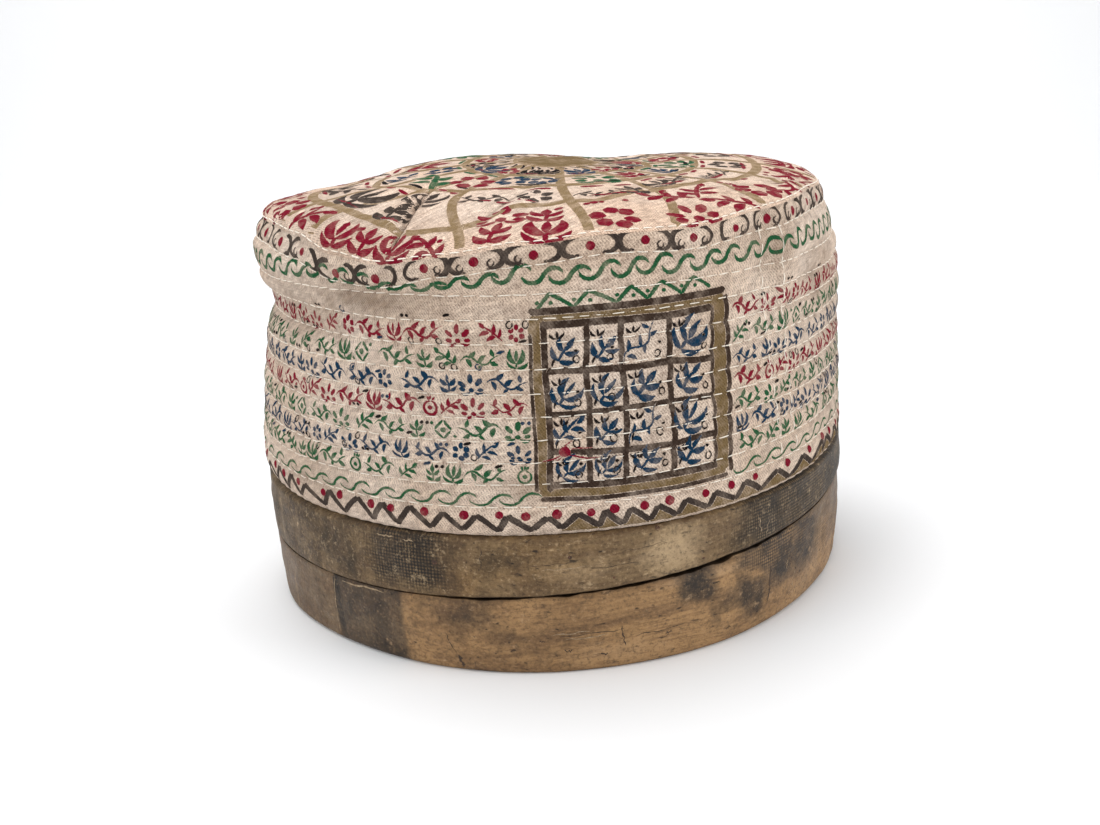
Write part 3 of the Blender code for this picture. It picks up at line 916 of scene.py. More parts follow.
def drawUpperZigzag():
    # Green zigzag above the square panel, with a dot in each angle.
    line = np.concatenate([curve(a, b, 0.03) for a, b in zip(upperZigzag, upperZigzag[1:])])
    rowStroke("green", 9, line[np.append(True, np.abs(np.diff(line[:, 0])) > 0.01)], 1.25, form="bar")
    for k, (x, y) in enumerate(upperZigzag[:-1]):
        rowDot("green", 9, x + 0.2, y + (-2.2 if k % 2 else 1.9), 0.62)


hemPeaks = [
    23.5, 35.6, 47.4, 56.5, 65.5, 75.5, 84.8, 93.3, 104, 112.1, 119.3, 126.2, 133.9, 142.2, 151.6, 162.9, 177.4,
    190.9, 207.8]
hemValleys = [
    19.7, 33, 41.8, 52.9, 61, 71.7, 80.9, 90.6, 99.8, 107.3, 117.2, 123.9, 131.4, 139.3, 149.1, 158.9, 169.3,
    182.6, 197]


def drawHemZigzag():
    # Dark teeth, steep on their left, standing on the hem, with a crimson dot over each valley. From the
    # front's middle round to the right their triangles are filled with olive brown.
    rng = newRandom(302)
    last, close = hemValleys[-1], fullArc + hemValleys[0]
    count = int(round((close - last) / 9.4))
    more = last + (close - last) * (np.arange(1, count) + rng.uniform(-0.1, 0.1, count - 1)) / count
    valleys = np.concatenate([hemValleys, more, [close]])
    peaks = np.append(hemPeaks, more + 0.42 * (valleys[-len(more):] - more))
    for x, peak, end in zip(valleys, peaks, valleys[1:]):
        high = (5.9 if x < 80 or x > fullArc else 4.9) * rng.uniform(0.92, 1.08)
        low, lowEnd = rng.uniform(0.6, 1.2, 2)
        if 105 < x < 430:
            s = np.linspace(x + 0.2, end - 0.1, 22)
            top = np.interp(s, [x, peak, end], [low, high - 0.1, lowEnd])
            addStrip("band", "olive", *(onRow(0, np.stack([s, y], 1)) for y in (0 * s + 0.05, top)), 9, "wash")
        for a, b in (((x, low), (peak, high)), ((peak - 0.2, high + 0.05), (end + 0.2, lowEnd))):
            line = curve(a, b, rng.uniform(-0.03, 0.05))
            rowStroke("grey", 0, line, 1.95 * rng.uniform(0.88, 1.08), 5, form="bar")
        spot = x + rng.uniform(-2.2, 0.8)
        rowDot("crimson", 0, spot, 5.3 * rng.uniform(0.94, 1.08), 1.3 * rng.uniform(0.88, 1.1), 7)


scrollArm = rounded([(0.52, 2.5), (0.4, 2.8), (0.2, 2.5), (0.04, 1), (0.02, -0.4), (0.12, -1.7), (0.3, -2.2),
                     (0.44, -2.1)])


def drawCrossedScrolls():
    # Dark crossed scrolls between the crown seam and the line below it, with crimson dots between them.
    rng, count = newRandom(303), int(round(fullArc / 14.6))
    for k in range(count):
        wide = rng.uniform(8.4, 10.2)
        middle = np.array([3 + fullArc * (k + 0.33 + rng.uniform(-0.03, 0.03)) / count, 2.7])
        apart = 0 if rng.random() < 0.6 else rng.uniform(1, 1.6)
        for side in (-1, 1):
            arm = scrollArm * [side * (wide - apart) * rng.uniform(0.9, 1.05), rng.uniform(0.9, 1.05)]
            arm = arm + middle + [side * apart, 0]
            rowStroke("grey", 11, arm, (1.3 if apart else 1.75) * rng.uniform(0.9, 1.1), 5)
            foot = middle + [side * (0.36 * wide + 0.5 * apart), -2.3]
            rowStroke("grey", 11, curve(foot - [1.4, 0], foot + [1.4, 0.1], 0.1), 0.95)
            if rng.random() < 0.5:
                rowStroke("grey", 11, curl(foot + [0, 1.5], 1, 0.2, 0.9, 0.8), 0.8)
        spot = middle[0] + wide / 2 + 2.6 + rng.uniform(-0.4, 0.4)
        rowDot("crimson", 11, spot, 2.8 + rng.uniform(-0.4, 0.5), rng.uniform(1.15, 1.5), 7)


# Bars of the panel's frame as x, y, x, y, width and 1 for a dark one; x counts from the left side and y from
# the top or the foot.
panelBars = [
    (0.4, -2.4, 55.6, -2.3, 4.6, 0), (0.6, 2.8, 54, 2, 4.4, 0), (1.7, 3, 1.9, -2, 4, 0), (53.2, 2, 54, -1, 5.4, 0),
    (0, -0.7, 56, 0.1, 2.1, 1), (3.4, -4.4, 51.4, -4.3, 2, 1), (3.6, 4.6, 50.8, 4, 1.9, 1),
    (0.6, 0.9, 55, 0.2, 1.6, 1), (3.7, 3, 3.9, -3, 1.9, 1), (50.6, 3, 51, -3.6, 1.3, 1),
    (56, 1, 56.6, -1.4, 1.8, 1), (0.1, 3, 0.1, -6, 1.2, 1)]

# Ornament of a cell: its size against the cell's diagonal, lowest and highest turn, and its foot in the cell.
cellStyles = dict(vine=(0.44, 42, 50, 0.56, 0.26), fern=(0.68, -4, 4, 0.48, 0.12), sprig=(0.68, -46, -36, 0.2, 0.14),
                  tulip=(0.68, -46, -36, 0.2, 0.14))
cellTick = [((-1.9, 0.9), (0, -0.5), -0.18), ((0, -0.5), (2.1, 1.2), -0.12), ((0.1, -0.4), (0.2, 1.5), 0)]
blotRuns = [((103, 61.6), (108.6, 63.6), 0.7), ((109.6, 63.4), (118.6, 62), 0.8), ((110, 64.6), (116.8, 64.9), 0.5),
            ((109, 65.4), (111.6, 67), 0.5), ((108.4, 62.8), (106.2, 61), 0.5)]


def drawPanel():
    # A square frame of olive bars between dark edges, around four by four cells. Each cell has a blue
    # ornament along its rising diagonal, a black tick and a small ring; a crimson blot runs over one corner.
    rng = newRandom(450)
    left, bottom, top, edge = (panel[key] for key in ("left", "bottom", "top", "edge"))

    def wavyBar(seed, start, end, colour, width, wobble, layer="line", lanes=5):
        # A bar ruled by hand: a straight line with a slow wobble.
        line = curve(start, end)
        side = unit(np.subtract(end, start)[::-1] * [-1, 1])
        line = line + side * (wobble * softNoise(seed, 6, 3, np.linspace(0.1, 0.9, len(line)), 0.3))[:, None]
        stroke("band", colour, line, width * rng.uniform(0.94, 1.08), lanes, layer, "bar")

    def inkOver(colour, line, width, form="pen"):
        stroke("band", colour, line, width, 3, "over", form)

    for k, (x0, y0, x1, y1, width, dark) in enumerate(panelBars):
        upright = abs(x1 - x0) < 3
        start = (left + x0, y0 + (bottom if upright or y0 > 0.15 else top))
        end = (left + x1, y1 + (top if upright or y0 < 0.15 else bottom))
        wavyBar(410 + k, start, end, "brown" if dark else "olive", width, 0.35, "line" if dark else "wash", 7)
    for k, x in enumerate(panel["columns"]):
        wavyBar(430 + k, (x + 0.2, top - edge), (x - 0.5 + 0.5 * k, bottom + edge), "brown", 1.9, 0.5)
    for k, y in enumerate(panel["rows"]):
        wavyBar(440 + k, (left + 3.9, y + 0.3), (left + 51, y - 0.6), "brown", 2, 0.5)

    columns = [left + 3.8, *panel["columns"], left + 50.6]
    rows = [top - edge, *panel["rows"], bottom + edge]
    for i in range(4):
        for j in range(4):
            x0, x1, y0, y1 = columns[i] + 1.3, columns[i + 1] - 1.2, rows[j + 1] + 1.3, rows[j] - 1.2
            name = panel["ornaments"][(i + 2 * j + int(rng.integers(0, 2))) % 4]
            size, turnLow, turnHigh, footX, footY = cellStyles[name]
            size = size * np.hypot(x1 - x0, y1 - y0) * rng.uniform(0.94, 1.05)
            foot = x0 + (x1 - x0) * footX, y0 + (y1 - y0) * footY, rng.uniform(turnLow, turnHigh)
            drawOrnament("band", "blue", name, rng, size, lambda p: placed(p, *foot), "over", 1.05)
            ring = curl((0, 0), rng.uniform(0.75, 0.95), rng.uniform(0, 1), 1.08, 1, 1.15)
            inkOver("black", placed(ring, x1 - rng.uniform(1.2, 2.4), y0 + rng.uniform(1.1, 2)), 0.72)
            dot("band", "black", (x1 - 1.4, y0 + 4.2), 0.5, layer="over")
            for a, b, bow in cellTick:
                inkOver("black", placed(curve(a, b, bow, 0.3), x0 + 1.9, y1 - 1.5), 1, "leaf")
            if rng.random() < 0.7:
                inkOver("black", placed(curve((0, 0), (1.2, 2.6), 0.12), x0 + 0.4, y0 + 0.2), 0.9, "leaf")
    dot("band", "crimson", (109.2, 64.2), 1.6, 7, "over")
    for a, b, width in blotRuns:
        inkOver("crimson", curve(a, b, rng.uniform(-0.06, 0.06), sway=0.02), width)


for draw in (drawRows, drawWaves, drawUpperZigzag, drawHemZigzag, drawCrossedScrolls, drawPanel):
    draw()

# Drawing of the crown, laid flat about its middle. The rings swell out towards the left shoulder, and
# each spoke is given by its turn at the inner ring and at the rim.

disc = 13.5
crownRings = table("turn first second third", [
    (-180, 28, 57, 76), (-165, 29, 53, 75.5), (-154, 28, 50, 75), (-141, 27, 45, 78), (-131, 27, 42, 75.5),
    (-123, 26, 41, 63), (-116, 27, 41, 57.5), (-108, 28, 42, 57), (-101, 29, 43, 60.5), (-95, 28, 42, 57.5),
    (-86, 27, 40, 54), (-71, 26, 39, 54), (-53, 28, 41, 56), (-40, 28, 42, 60), (0, 29, 44, 64), (40, 28, 42, 60),
    (80, 27, 40, 55), (110, 28, 43, 60), (145, 28, 50, 70), (180, 28, 57, 76)])
spokes = table("inner rim", [
    (-176, -172), (-156, -161), (-143, -129.3), (-107, -107), (-79, -89.4), (-60, -63), (-36, -40), (-12, -17),
    (12, 8), (38, 33), (64, 60), (88, 86), (112, 112), (136, 138), (158, 163)])
fillNames = dict(
    edge=("vine", "tulip", "rosette", "fern", "sprig", "palmette", "fern"),
    third=("fern", "sprig", "rosette", "vine", "tulip"),
    second=("sprig", "palmette", "rosette", "fern"),
    first=("rosette", "tulip", "palmette"),
)


def rimReach(turn):
    # Radius of the seam in any direction on the crown laid flat.
    return np.interp(np.mod(turn - crownTurn[0], 360), crownTurn - crownTurn[0], crownFlat[0])


def ringRadius(name, turn):
    return np.interp(turnFrom(turn), crownRings["turn"], crownRings[name])


def fillSector(rng, ends, low, high, colour, ring, bold):
    # Ornaments side by side between two turns, in tiers from radius low at their feet to high.
    tiers, names = max(1, int(round((low - high) / 15))), fillNames[ring]
    tall = (low - high) / tiers
    for tier in range(tiers):
        foot, size = low - tier * tall, min(0.98 * tall, 15)
        count = max(1, int(round(np.radians(ends[1] - ends[0]) * (foot - 0.5 * tall) / (1.02 * size))))
        for n in range(count):
            turn = ends[0] + (ends[1] - ends[0]) * (n + 0.5 + rng.uniform(-0.05, 0.05)) / count
            at = polar(turn, foot - rng.uniform(0, 0.05) * tall)
            name, flip = names[int(rng.integers(0, len(names)))], rng.choice([-1, 1])
            scale, lean = size * rng.uniform(0.9, 1.03), turn + 90 + rng.uniform(-9, 9)
            scale = scale * (0.62 if name == "vine" else 1)
            drawOrnament("crown", colour, name, rng, scale, lambda p: placed(p * [flip, 1], *at, lean), bold=bold)


def drawSector(rng, k):
    # One spoke, the pieces of the rings after it, and what fills the cells between them.
    inner, rim = spokes["inner"][k], spokes["rim"][k]
    after = (k + 1) % len(spokes["rim"])
    innerWide, rimWide = turnFrom(spokes["inner"][after], inner), turnFrom(spokes["rim"][after], rim)
    t = np.linspace(0, 1, 40)
    reach = disc - 1 + (rimReach(rim) + 0.2 - disc) * t
    turns = inner + (rim - inner) * ease((reach - 40) / 46) + 2 * np.sin(5 * t + k)
    stroke("crown", "wash", polar(turns, reach), 3, 7, "wash", "bar")
    around = rim + rimWide * np.linspace(-0.04, 1.04, 40)
    for name, width in (("first", 2.7), ("second", 2.7), ("third", 3.3)):
        ring = polar(around, ringRadius(name, around) + rng.uniform(-0.5, 0.5))
        stroke("crown", "wash", ring, width, 7, "wash", "bar")
    middle = rim + rimWide / 2
    third, second, first = (ringRadius(name, middle) for name in ("third", "second", "first"))
    rimEnds, innerEnds = rim + rimWide * np.array([0.07, 0.93]), inner + innerWide * np.array([0.08, 0.92])
    fillSector(rng, rimEnds, rimReach(middle) - 0.5, third + 1.8, "crimson", "edge", 1.22)
    for _ in range(4):
        spot = polar(middle + rng.uniform(-0.4, 0.4) * rimWide, third + rng.uniform(2.6, 5))
        dot("crown", "crimson", spot, rng.uniform(0.8, 1.3))
    fillSector(rng, innerEnds, third - 2, second + 4, "grey", "third", 1.15)
    fillSector(rng, innerEnds, second - 1.6, first + 1.8, ("green", "crimson", "blue")[k % 3], "second", 1.25)
    fillSector(rng, innerEnds, first - 1.6, disc + 4.4, ("blue", "crimson", "black")[k % 3], "first", 1.3)
    for start, end, radius, colour in (
            (-0.34, -0.02, second + 2.6, "crimson"), (0.1, 0.36, second + 2.9, "crimson"),
            (-0.3, 0.26, third - 3.6, "crimson"), (-0.3, 0.3, first + 2.4, "green"),
            (-0.32, 0.05, first - 2.2, "crimson"), (-0.1, 0.34, second - 2.4, "black")):
        stroke("crown", colour, polar(inner + innerWide * (0.5 + np.linspace(start, end, 8)), radius), 1.7)


def drawCrown():
    # Spokes, three rings and a disc in an olive wash, and bold ornaments that change colour by ring and
    # stand with their feet towards the rim.
    rng = newRandom(501)
    for k in range(len(spokes["rim"])):
        drawSector(rng, k)
    # A thin brown line along the front crease is painted shadow in the fold, not part of the drawing.
    crease = rounded([(-46.1, -20.2), (-55.3, -36.6), (-62.8, -47.1), (-67.5, -52.6), (-71.2, -54.4)])
    stroke("crown", "brown", crease, 0.95, layer="over", form="leaf")
    dot("crown", "wash", (0, 0), disc, 41, "wash")
    dot("crown", "olive", (0, 0), disc - 1.5, 37)
    for k in range(30):
        turn = k * 12 + rng.uniform(-3, 3)
        stroke("crown", "black", curve(polar(turn, 14.4), polar(turn + 7, 18.2), 0.15), 1)


drawCrown()


def makeInk():
    # One piece for each colour on each cloth, with the cloth's own surface coordinates.
    pieces = []
    for (cloth, colour), strips in inkStrips.items():
        values, faces = joined(strips)
        flat, lift, edge = values[:, :2], values[:, 2], values[:, 3]
        if cloth == "band":
            around, height = flat.T
            angle = angleAt(around)
            mapped, soil = onBand(flat, lift), spotsAt(angle, height, bandSoilAndShade)
            uv = np.stack([(angle + 180) / 360 + around // fullArc, (height - flatFoot) / flatSize["band"][1]], axis=1)
        else:
            mapped, uv = onCrown(flat, lift), flat / flatSize["crown"] + 0.5
            soil = soilAndShadeOnCrown(mapped[:, 0], mapped[:, 1])
        faces = facedOut(mapped, faces, [1, 1, 0] if cloth == "band" else [0, 0, 1])
        label = colour.capitalize()
        material = inkMaterial(cloth + label + "Ink", cloth, *inkColours[colour])
        pieces.append(addPiece(cloth + "Ink" + label, mapped, faces.tolist(), material, cloth + "_cloth", uv[faces],
                               dict(edge=edge, soil=soil)))
    return pieces


inkPieces = makeInk()
print("ink drawn")

# Stitches

stitchShape = dict(length=3.9, rise=4.4, sides=6, share=[0, 0.14, 0.5, 0.86, 1], lift=[-0.14, 0.13, 0.2, 0.13, -0.14],
                   radius=[0.0935, 0.1615, 0.17, 0.1615, 0.0935])


def makeStitches():
    # Flattened six-sided threads, five rings each, that rise out of the cloth and dive in again.
    rng = newRandom(600)
    share, lift, fat = (np.array(stitchShape[key]) for key in ("share", "lift", "radius"))
    rings, sides = len(share), stitchShape["sides"]
    centres, radii = [], []

    def sew(onCloth, starts, steps):
        flat = starts[:, None] + steps[:, None] * share[:, None]
        centres.append(onCloth(flat.reshape(-1, 2), np.tile(lift, len(starts))).reshape(-1, rings, 3))
        radii.append(fat * rng.uniform(0.8, 1.15, (len(starts), 1)))

    count = int(fullArc / bandCloth["stitch"])
    for line in range(1, seamLine):
        x = (np.arange(count) + line * bandCloth["shift"]) * fullArc / count + rng.uniform(-0.25, 0.25, count)
        length = stitchShape["length"] * rng.uniform(0.86, 1.1, count)
        y = lineAt(line, x) + 0.12 * rng.uniform(-1, 1, count)
        yEnd = lineAt(line, x + length) + 0.16 * rng.uniform(-1, 1, count)
        sew(onBand, np.stack([x, y], 1), np.stack([length, yEnd - y], 1))
    for around in (173, 180.6):     # two upright rows beside the joining ridge
        low = np.arange(51, 114, stitchShape["rise"])
        x = around + jointLean * np.maximum(90 - low, 0) + rng.uniform(-0.2, 0.2, len(low))
        sew(onBand, np.stack([x, low], 1), np.stack([rng.uniform(-0.25, 0.25, len(low)), 0 * low + 3.6], 1))
    turns = np.arange(-180, 180, 2.5) + rng.uniform(-0.2, 0.2, 144)       # fine stitches along the crown seam
    starts, ends = polar(turns, rimReach(turns) - 1.1), polar(turns + 1.9, rimReach(turns + 1.9) - 1)
    sew(onCrown, starts, ends - starts)

    centre, radius = np.concatenate(centres), np.concatenate(radii)
    along = unit(np.gradient(centre, axis=1))
    outward = centre * [1, 1, 0.2]
    outward = unit(outward - along * (outward * along).sum(axis=2, keepdims=True))
    side = np.cross(outward, along)
    turn = np.linspace(0, 2 * np.pi, sides, endpoint=False)[:, None]
    section = np.cos(turn) * side[:, :, None] + 0.8 * np.sin(turn) * outward[:, :, None]
    base = (np.arange(len(centre)) * rings * sides)[:, None]
    ends = np.arange(sides)
    faces = (base[:, None] + ringFaces(rings, sides)).reshape(-1, 4).tolist()
    faces += (base + ends[::-1]).tolist() + (base + (rings - 1) * sides + ends).tolist()
    return addPiece("runningStitches", centre[:, :, None] + radius[:, :, None, None] * section, faces, threadMaterial,
                    "band_cloth")


stitches = makeStitches()
print("stitches sewn")

# Wooden block

block = dict(columns=900, jointHeight=25.3, jointSlope=0.045, shoulderStart=54, top=106, shoulderInset=30)
blockAngle = wholeTurns(block["columns"])
turnHere = (blockAngle + 180) / 360
jointHere = block["jointHeight"] + block["jointSlope"] * offsetOutline(blockAngle, 0)[0]
underHem = allLines(blockAngle)[0] - 0.8

# How far the boards stand apart: closed at the left, open along the front and widest right of its middle.
gapHere = 0.55 * bell(turnFrom(blockAngle, -98) / 46) + 0.9 * bell(turnFrom(blockAngle, -82) / 26)
gapHere = 0.14 + gapHere * (1 + 0.55 * softNoise(77, 90, 3, turnHere, 0))
opened = np.clip((gapHere - 0.12) / 1.2, 0, 1)
# How dark the gap between the boards is painted as shadow: a little everywhere, more where they stand open.
jointShadow = np.clip(0.25 + 1.6 * opened, 0, 1)
splinter = softNoise(71, 130, 3, turnHere, 0) + 0.7 * softNoise(74, 290, 3, turnHere, 0)


def boardRings(seed, *walls):
    # Walls of offsets and heights with hand-cut unevenness: a slow swell, tool facets and faint ridges of grain.
    rings = []
    for offset, height in walls:
        u, v = turnHere, height / 45
        relief = 0.34 * softNoise(seed, 14, 3, u, v) + 0.12 * softNoise(seed + 1, 46, 12, u + 0.2 * v, v)
        relief = relief + 0.05 * softNoise(seed + 2, 26, 40, u, v) + 0.035 * softNoise(seed + 3, 170, 30, u, v)
        rings.append(wallAt(blockAngle, height, offset + relief))
    return np.concatenate(rings)


# Lower board: from its rounded foot to a worn, splintered top edge, then in under the upper board.
lowerTop = jointHere - 0.15 - gapHere * 0.72 + (0.05 + 0.5 * opened) * splinter
lowerCurve = 0.9
lowerHeight = lowerTop * np.linspace(0, 1, 40)[:, None] ** lowerCurve
nearTop = lowerTop - lowerHeight
lowerOffset = np.interp(lowerHeight, [0, 0.5, 1.4, 12, 22, 30], [-2.4, -1.6, -1.25, -0.5, -0.1, 0.1])
lowerOffset = lowerOffset - (0.35 + 0.7 * opened) * np.exp(-nearTop / (0.35 + 0.9 * opened))
lowerOffset = lowerOffset + 0.25 * splinter * opened * np.exp(-nearTop / 1.2)
lowerRings = boardRings(72, (lowerOffset[:1] - 4, lowerHeight[:1]), (lowerOffset, lowerHeight),
                        (lowerOffset[-1:] - 1.1, lowerHeight[-1:] - 0.15),
                        (lowerOffset[-1:] - 6, lowerHeight[-1:] - 0.2))
# The top edge and the ledge in under the upper board are darkened as painted shadow in the gap.
lowerJoint = np.zeros(lowerRings.shape[:2])
lowerJoint[-4:] = np.array([0, 0.2, 0.75, 1])[:, None] * jointShadow

# Upper board: from its sharper lower edge to the rim that the hem grips, then the plain block in the cap.
upperLow = jointHere + 0.15 + gapHere * 0.28 + (0.05 + 0.1 * opened) * np.roll(splinter, 37)
upperHeight = upperLow + (underHem - upperLow) * np.linspace(0, 1, 34)[:, None]
upperOffset = np.interp(upperHeight, [20, 27, 33, 38, 50], [0.2, 0.4, 0.6, 0.35, 0.2])
upperOffset = upperOffset - 0.6 * np.exp(-(upperHeight - upperLow) / 0.4)
upperOffset = upperOffset - 2.6 * np.clip(1 - (underHem - upperHeight) / 1.6, 0, 1) ** 1.8
hidden = np.array([54, 68, 80, 90, 98, 103.5, block["top"]])[:, None]
rise = np.clip((hidden - block["shoulderStart"]) / (block["top"] - block["shoulderStart"]), 0, 1)
shoulder = block["shoulderInset"] * (1 - np.sqrt(1 - rise ** 2))
hiddenOffset = -1.8 - capShape["wallLean"] * (hidden - lineHeights[0]) - shoulder
upperRings = boardRings(82, (upperOffset[:1] - 6, upperHeight[:1] + 0.2),
                        (upperOffset[:1] - 0.6, upperHeight[:1] + 0.1), (upperOffset, upperHeight))
upperRings = np.concatenate([upperRings, wallAt(blockAngle, hidden, hiddenOffset)])
# The first rings, under and at the board's lower edge, are darkened as painted shadow in the gap.
upperJoint = np.zeros(upperRings.shape[:2])
upperJoint[:3] = np.array([1, 1, 0.7])[:, None] * jointShadow

# Stains as mask, angle, half angle, height, half height, sharpness and amount. The masks are 0 dark, 1 golden,
# 2 print of the cloth, 3 pale wear and 4 streaks down the end grain; a spot of sharpness 1 fades from its
# middle, and a sharper one has an edge.
toneNames = ["dark", "golden", "print", "pale", "streaks"]
upperTones = [
    (0, -154, 26, 34, 30, 1, 0.6), (0, -136.5, 9, 34, 12, 1.4, 1), (2, -137, 13, 34, 14, 1.5, 1),
    (0, -120, 9, 35, 9, 1, 0.35), (0, -128, 6, 28, 8, 1, 0.4), (0, -57, 27, 36, 26, 1.7, 1),
    (2, -59, 25, 35, 17, 1.7, 1), (0, -34, 28, 34, 26, 1.8, 1), (3, -90, 9, 33, 12, 1, 0.9),
    (3, -104, 16, 31, 10, 1, 0.35), (3, -69, 2.2, 31, 8, 1.2, 0.6), (3, -74.5, 1.4, 33, 6, 1.2, 0.4),
    (1, -112, 26, 33, 24, 1, 0.45), (1, -127, 7, 27, 8, 1, 0.5), (4, 180, 42, 34, 60, 1.2, 0.45),
    (0, 172, 34, 34, 60, 1.2, 0.55), (4, 0, 44, 34, 60, 1.2, 0.9), (0, 20, 40, 34, 30, 1, 0.6),
    (0, 75, 26, 36, 18, 1.2, 0.7), (2, 70, 16, 35, 12, 1.4, 0.6), (1, 112, 34, 33, 26, 1, 0.6),
    (3, 96, 14, 32, 10, 1, 0.4)]
lowerTones = [
    (0, -147.8, 10.4, 12.4, 14.5, 6, 0.66), (3, -84, 18, 22.6, 2.6, 1, 0.8), (0, -170, 13, 18, 26, 1.2, 0.4),
    (0, -156.8, 1.5, 12, 16, 1.5, 0.5), (1, -108, 44, 10, 40, 1.8, 1), (1, -74, 30, 8, 40, 1.6, 0.85),
    (1, -38, 24, 5, 14, 1, 0.4), (0, -126, 10, 19, 8, 1.2, 0.55), (0, -119, 9, 10, 12, 1, 0.35),
    (0, -86, 6, 21, 8, 1.4, 0.85), (0, -78, 7, 14, 8, 1.2, 0.5), (0, -73.5, 4, 10, 9, 1.2, 0.75),
    (0, -66, 8, 22, 6, 1.4, 0.9), (0, -60, 17, 19, 14, 1.4, 0.85), (0, -26, 22, 18, 22, 1.2, 0.45),
    (1, -36, 22, 10, 20, 1.4, 0.6), (0, -68, 12, 25, 7, 1.4, 1), (2, -66, 14, 23, 8, 1.4, 0.8),
    (2, -34, 24, 18, 14, 1.4, 0.6), (3, -100, 18, 5, 8, 1, 0.5), (3, -170, 9, 14, 18, 1, 0.5),
    (3, -52, 16, 9, 14, 1, 0.55), (4, 180, 26, 12, 60, 1.2, 0.5), (4, 0, 44, 12, 60, 1.2, 0.8),
    (1, 80, 60, 10, 40, 1.4, 0.9), (0, 128, 24, 14, 24, 1.2, 0.8), (0, 48, 18, 18, 12, 1.2, 0.6),
    (3, 84, 20, 6, 9, 1, 0.4)]


def woodTones(points, tones):
    # Each mask is the sum over its spots of amount times two eased edges, around and up. An edge is sharp times
    # the share of the spot's half width that is left to its rim.
    x, y = (points[:, :2] + outlineMiddle).T
    angle = np.degrees(np.arctan2(y / capShape["halfWidth"], x / capShape["halfLength"]))
    masks = np.zeros((len(toneNames), len(points)))
    for mask, centre, halfAngle, height, halfHeight, sharp, amount in tones:
        u, v = turnFrom(angle, centre) / halfAngle, (points[:, 2] - height) / halfHeight
        masks[mask] += amount * ease(sharp * (1 - np.abs(u))) * ease(sharp * (1 - np.abs(v)))
    return dict(zip(toneNames, np.clip(masks, 0, 1)))


def woodMaterial(name, roughness, **tones):
    material, place = newMaterial(name)
    tree = place.tree
    grain = node(tree, "Group", "Grain", dict(node_tree=grainGroup), Place=place)
    fibres, pores, flakes = grain.out("Fibres"), grain.out("Pores").remap(0.66, 0.74, 0, 0.8), grain.out("Flakes")
    dark, golden, printed, pale, streaked, joint = (attribute(tree, label) for label in toneNames + ["joint"])
    cloud, patch, grit = noise(place, 70, 6, 0.68), noise(place, 170, 5, 0.68), noise(place, 900, 4, 0.75)
    streaks = noise(stretched(place, 300, 300, 26), 1, 4, 0.6)
    parts = node(tree, "SeparateXYZ", Vector=place)

    def spread(mask, low, high):
        # A mask whose edge is broken up by the clouds.
        return (mask + (patch - 0.5) * 0.9 + (cloud - 0.5) * 0.7).remap(low, high)

    # The print of the cloth is a net of its threads, around and up the block.
    net = (parts.out("Y").math("ARCTAN2", parts) * (88 * 6.2832)).sine() + (parts.out("Z") * 6500).sine()
    pressed = printed * patch.remap(0.38, 0.56, 0.2)
    stain = spread(dark, 0.2, 0.8) * noise(place, 110, 5, 0.7).remap(0.38, 0.56, 0.62)
    colour = tones["base"]
    # The last layer, the joint, is painted shadow in the gap between the boards.
    for amount, tone in (
            (spread(golden, 0.2, 0.8), "golden"),
            (grain.remap(0.42, 0.64, 0, 0.75), "shade"), (fibres.remap(0.48, 0.66, 0, 0.65), "shade"),
            (spread(pale, 0.15, 0.95) * 0.56, "pale"),
            (streaked * streaks.remap(0.42, 0.68, 0, 0.7), "dark"),
            (streaked * streaks.remap(0.34, 0.42, 0.5, 0), "pale"),
            (stain * (1 - pressed * net.remap(-1.1, 0.3, 0.75, 0)), "dark"), (cloud.remap(0.54, 0.72, 0, 0.55), "dark"),
            (pressed * net.remap(-0.8, 0.6, 0, 0.85), "print"),
            (flakes.remap(0.6, 0.72, 0, 0.55), "pale"), (pores, "pore"),
            (grit.remap(0.5, 0.72, 0, 0.7), "dark"), (grit.remap(0.26, 0.44, 0.4, 0), "pale"), (joint, "joint")):
        colour = mix(amount, colour, tones[tone])
    return finish(material, (fibres + (grain + patch * 0.8) - pores, 0.0005, 0.6), Base_Color=colour,
                  Roughness=cloud.remap(0.3, 0.7, roughness - 0.12, roughness + 0.14), Specular_IOR_Level=0.3)


# The joint colour is painted shadow in the gap between the boards.
darkTones = dict(print=rgba(28, 24, 19), pore=rgba(34, 26, 20), joint=rgba(26, 19, 14))
upperMaterial = woodMaterial("stainedWood", 0.62, base=rgba(128, 104, 72), golden=rgba(142, 110, 70),
                             pale=rgba(214, 186, 146), shade=rgba(88, 66, 44), dark=rgba(38, 31, 24), **darkTones)
lowerMaterial = woodMaterial("goldenWood", 0.54, base=rgba(118, 98, 74), golden=rgba(162, 126, 84),
                             pale=rgba(190, 156, 118), shade=rgba(100, 73, 48), dark=rgba(46, 38, 31), **darkTones)


def makeBoard(board, rings, joint, material, tones):
    points, quads, ends = closedRings(rings)
    values = dict(woodTones(points, tones), joint=np.append(joint.ravel(), [0, 0]))
    addPiece(board + "Board", points, quads.tolist() + ends.tolist(), material, board + "_wood", None, values,
             "block_" + board + "_board")


makeBoard("lower", lowerRings, lowerJoint, lowerMaterial, lowerTones)
makeBoard("upper", upperRings, upperJoint, upperMaterial, upperTones)


def onBoard(board, flat, lift):
    # Points of a board from angles and heights, lifted off the wood.
    rings, low, high, bend = (lowerRings[1:41], 0 * lowerTop, lowerTop, lowerCurve) if board == "lower" else (
        upperRings[2:36], upperLow, underHem, 1)
    angle = turnFrom(flat[:, 0])
    low, high = np.interp(angle, blockAngle, low), np.interp(angle, blockAngle, high)
    row = np.clip((flat[:, 1] - low) / (high - low), 0, 1) ** (1 / bend) * (len(rings) - 1)
    return lifted(rings, row, (angle + 180) / 360 * block["columns"], lift)


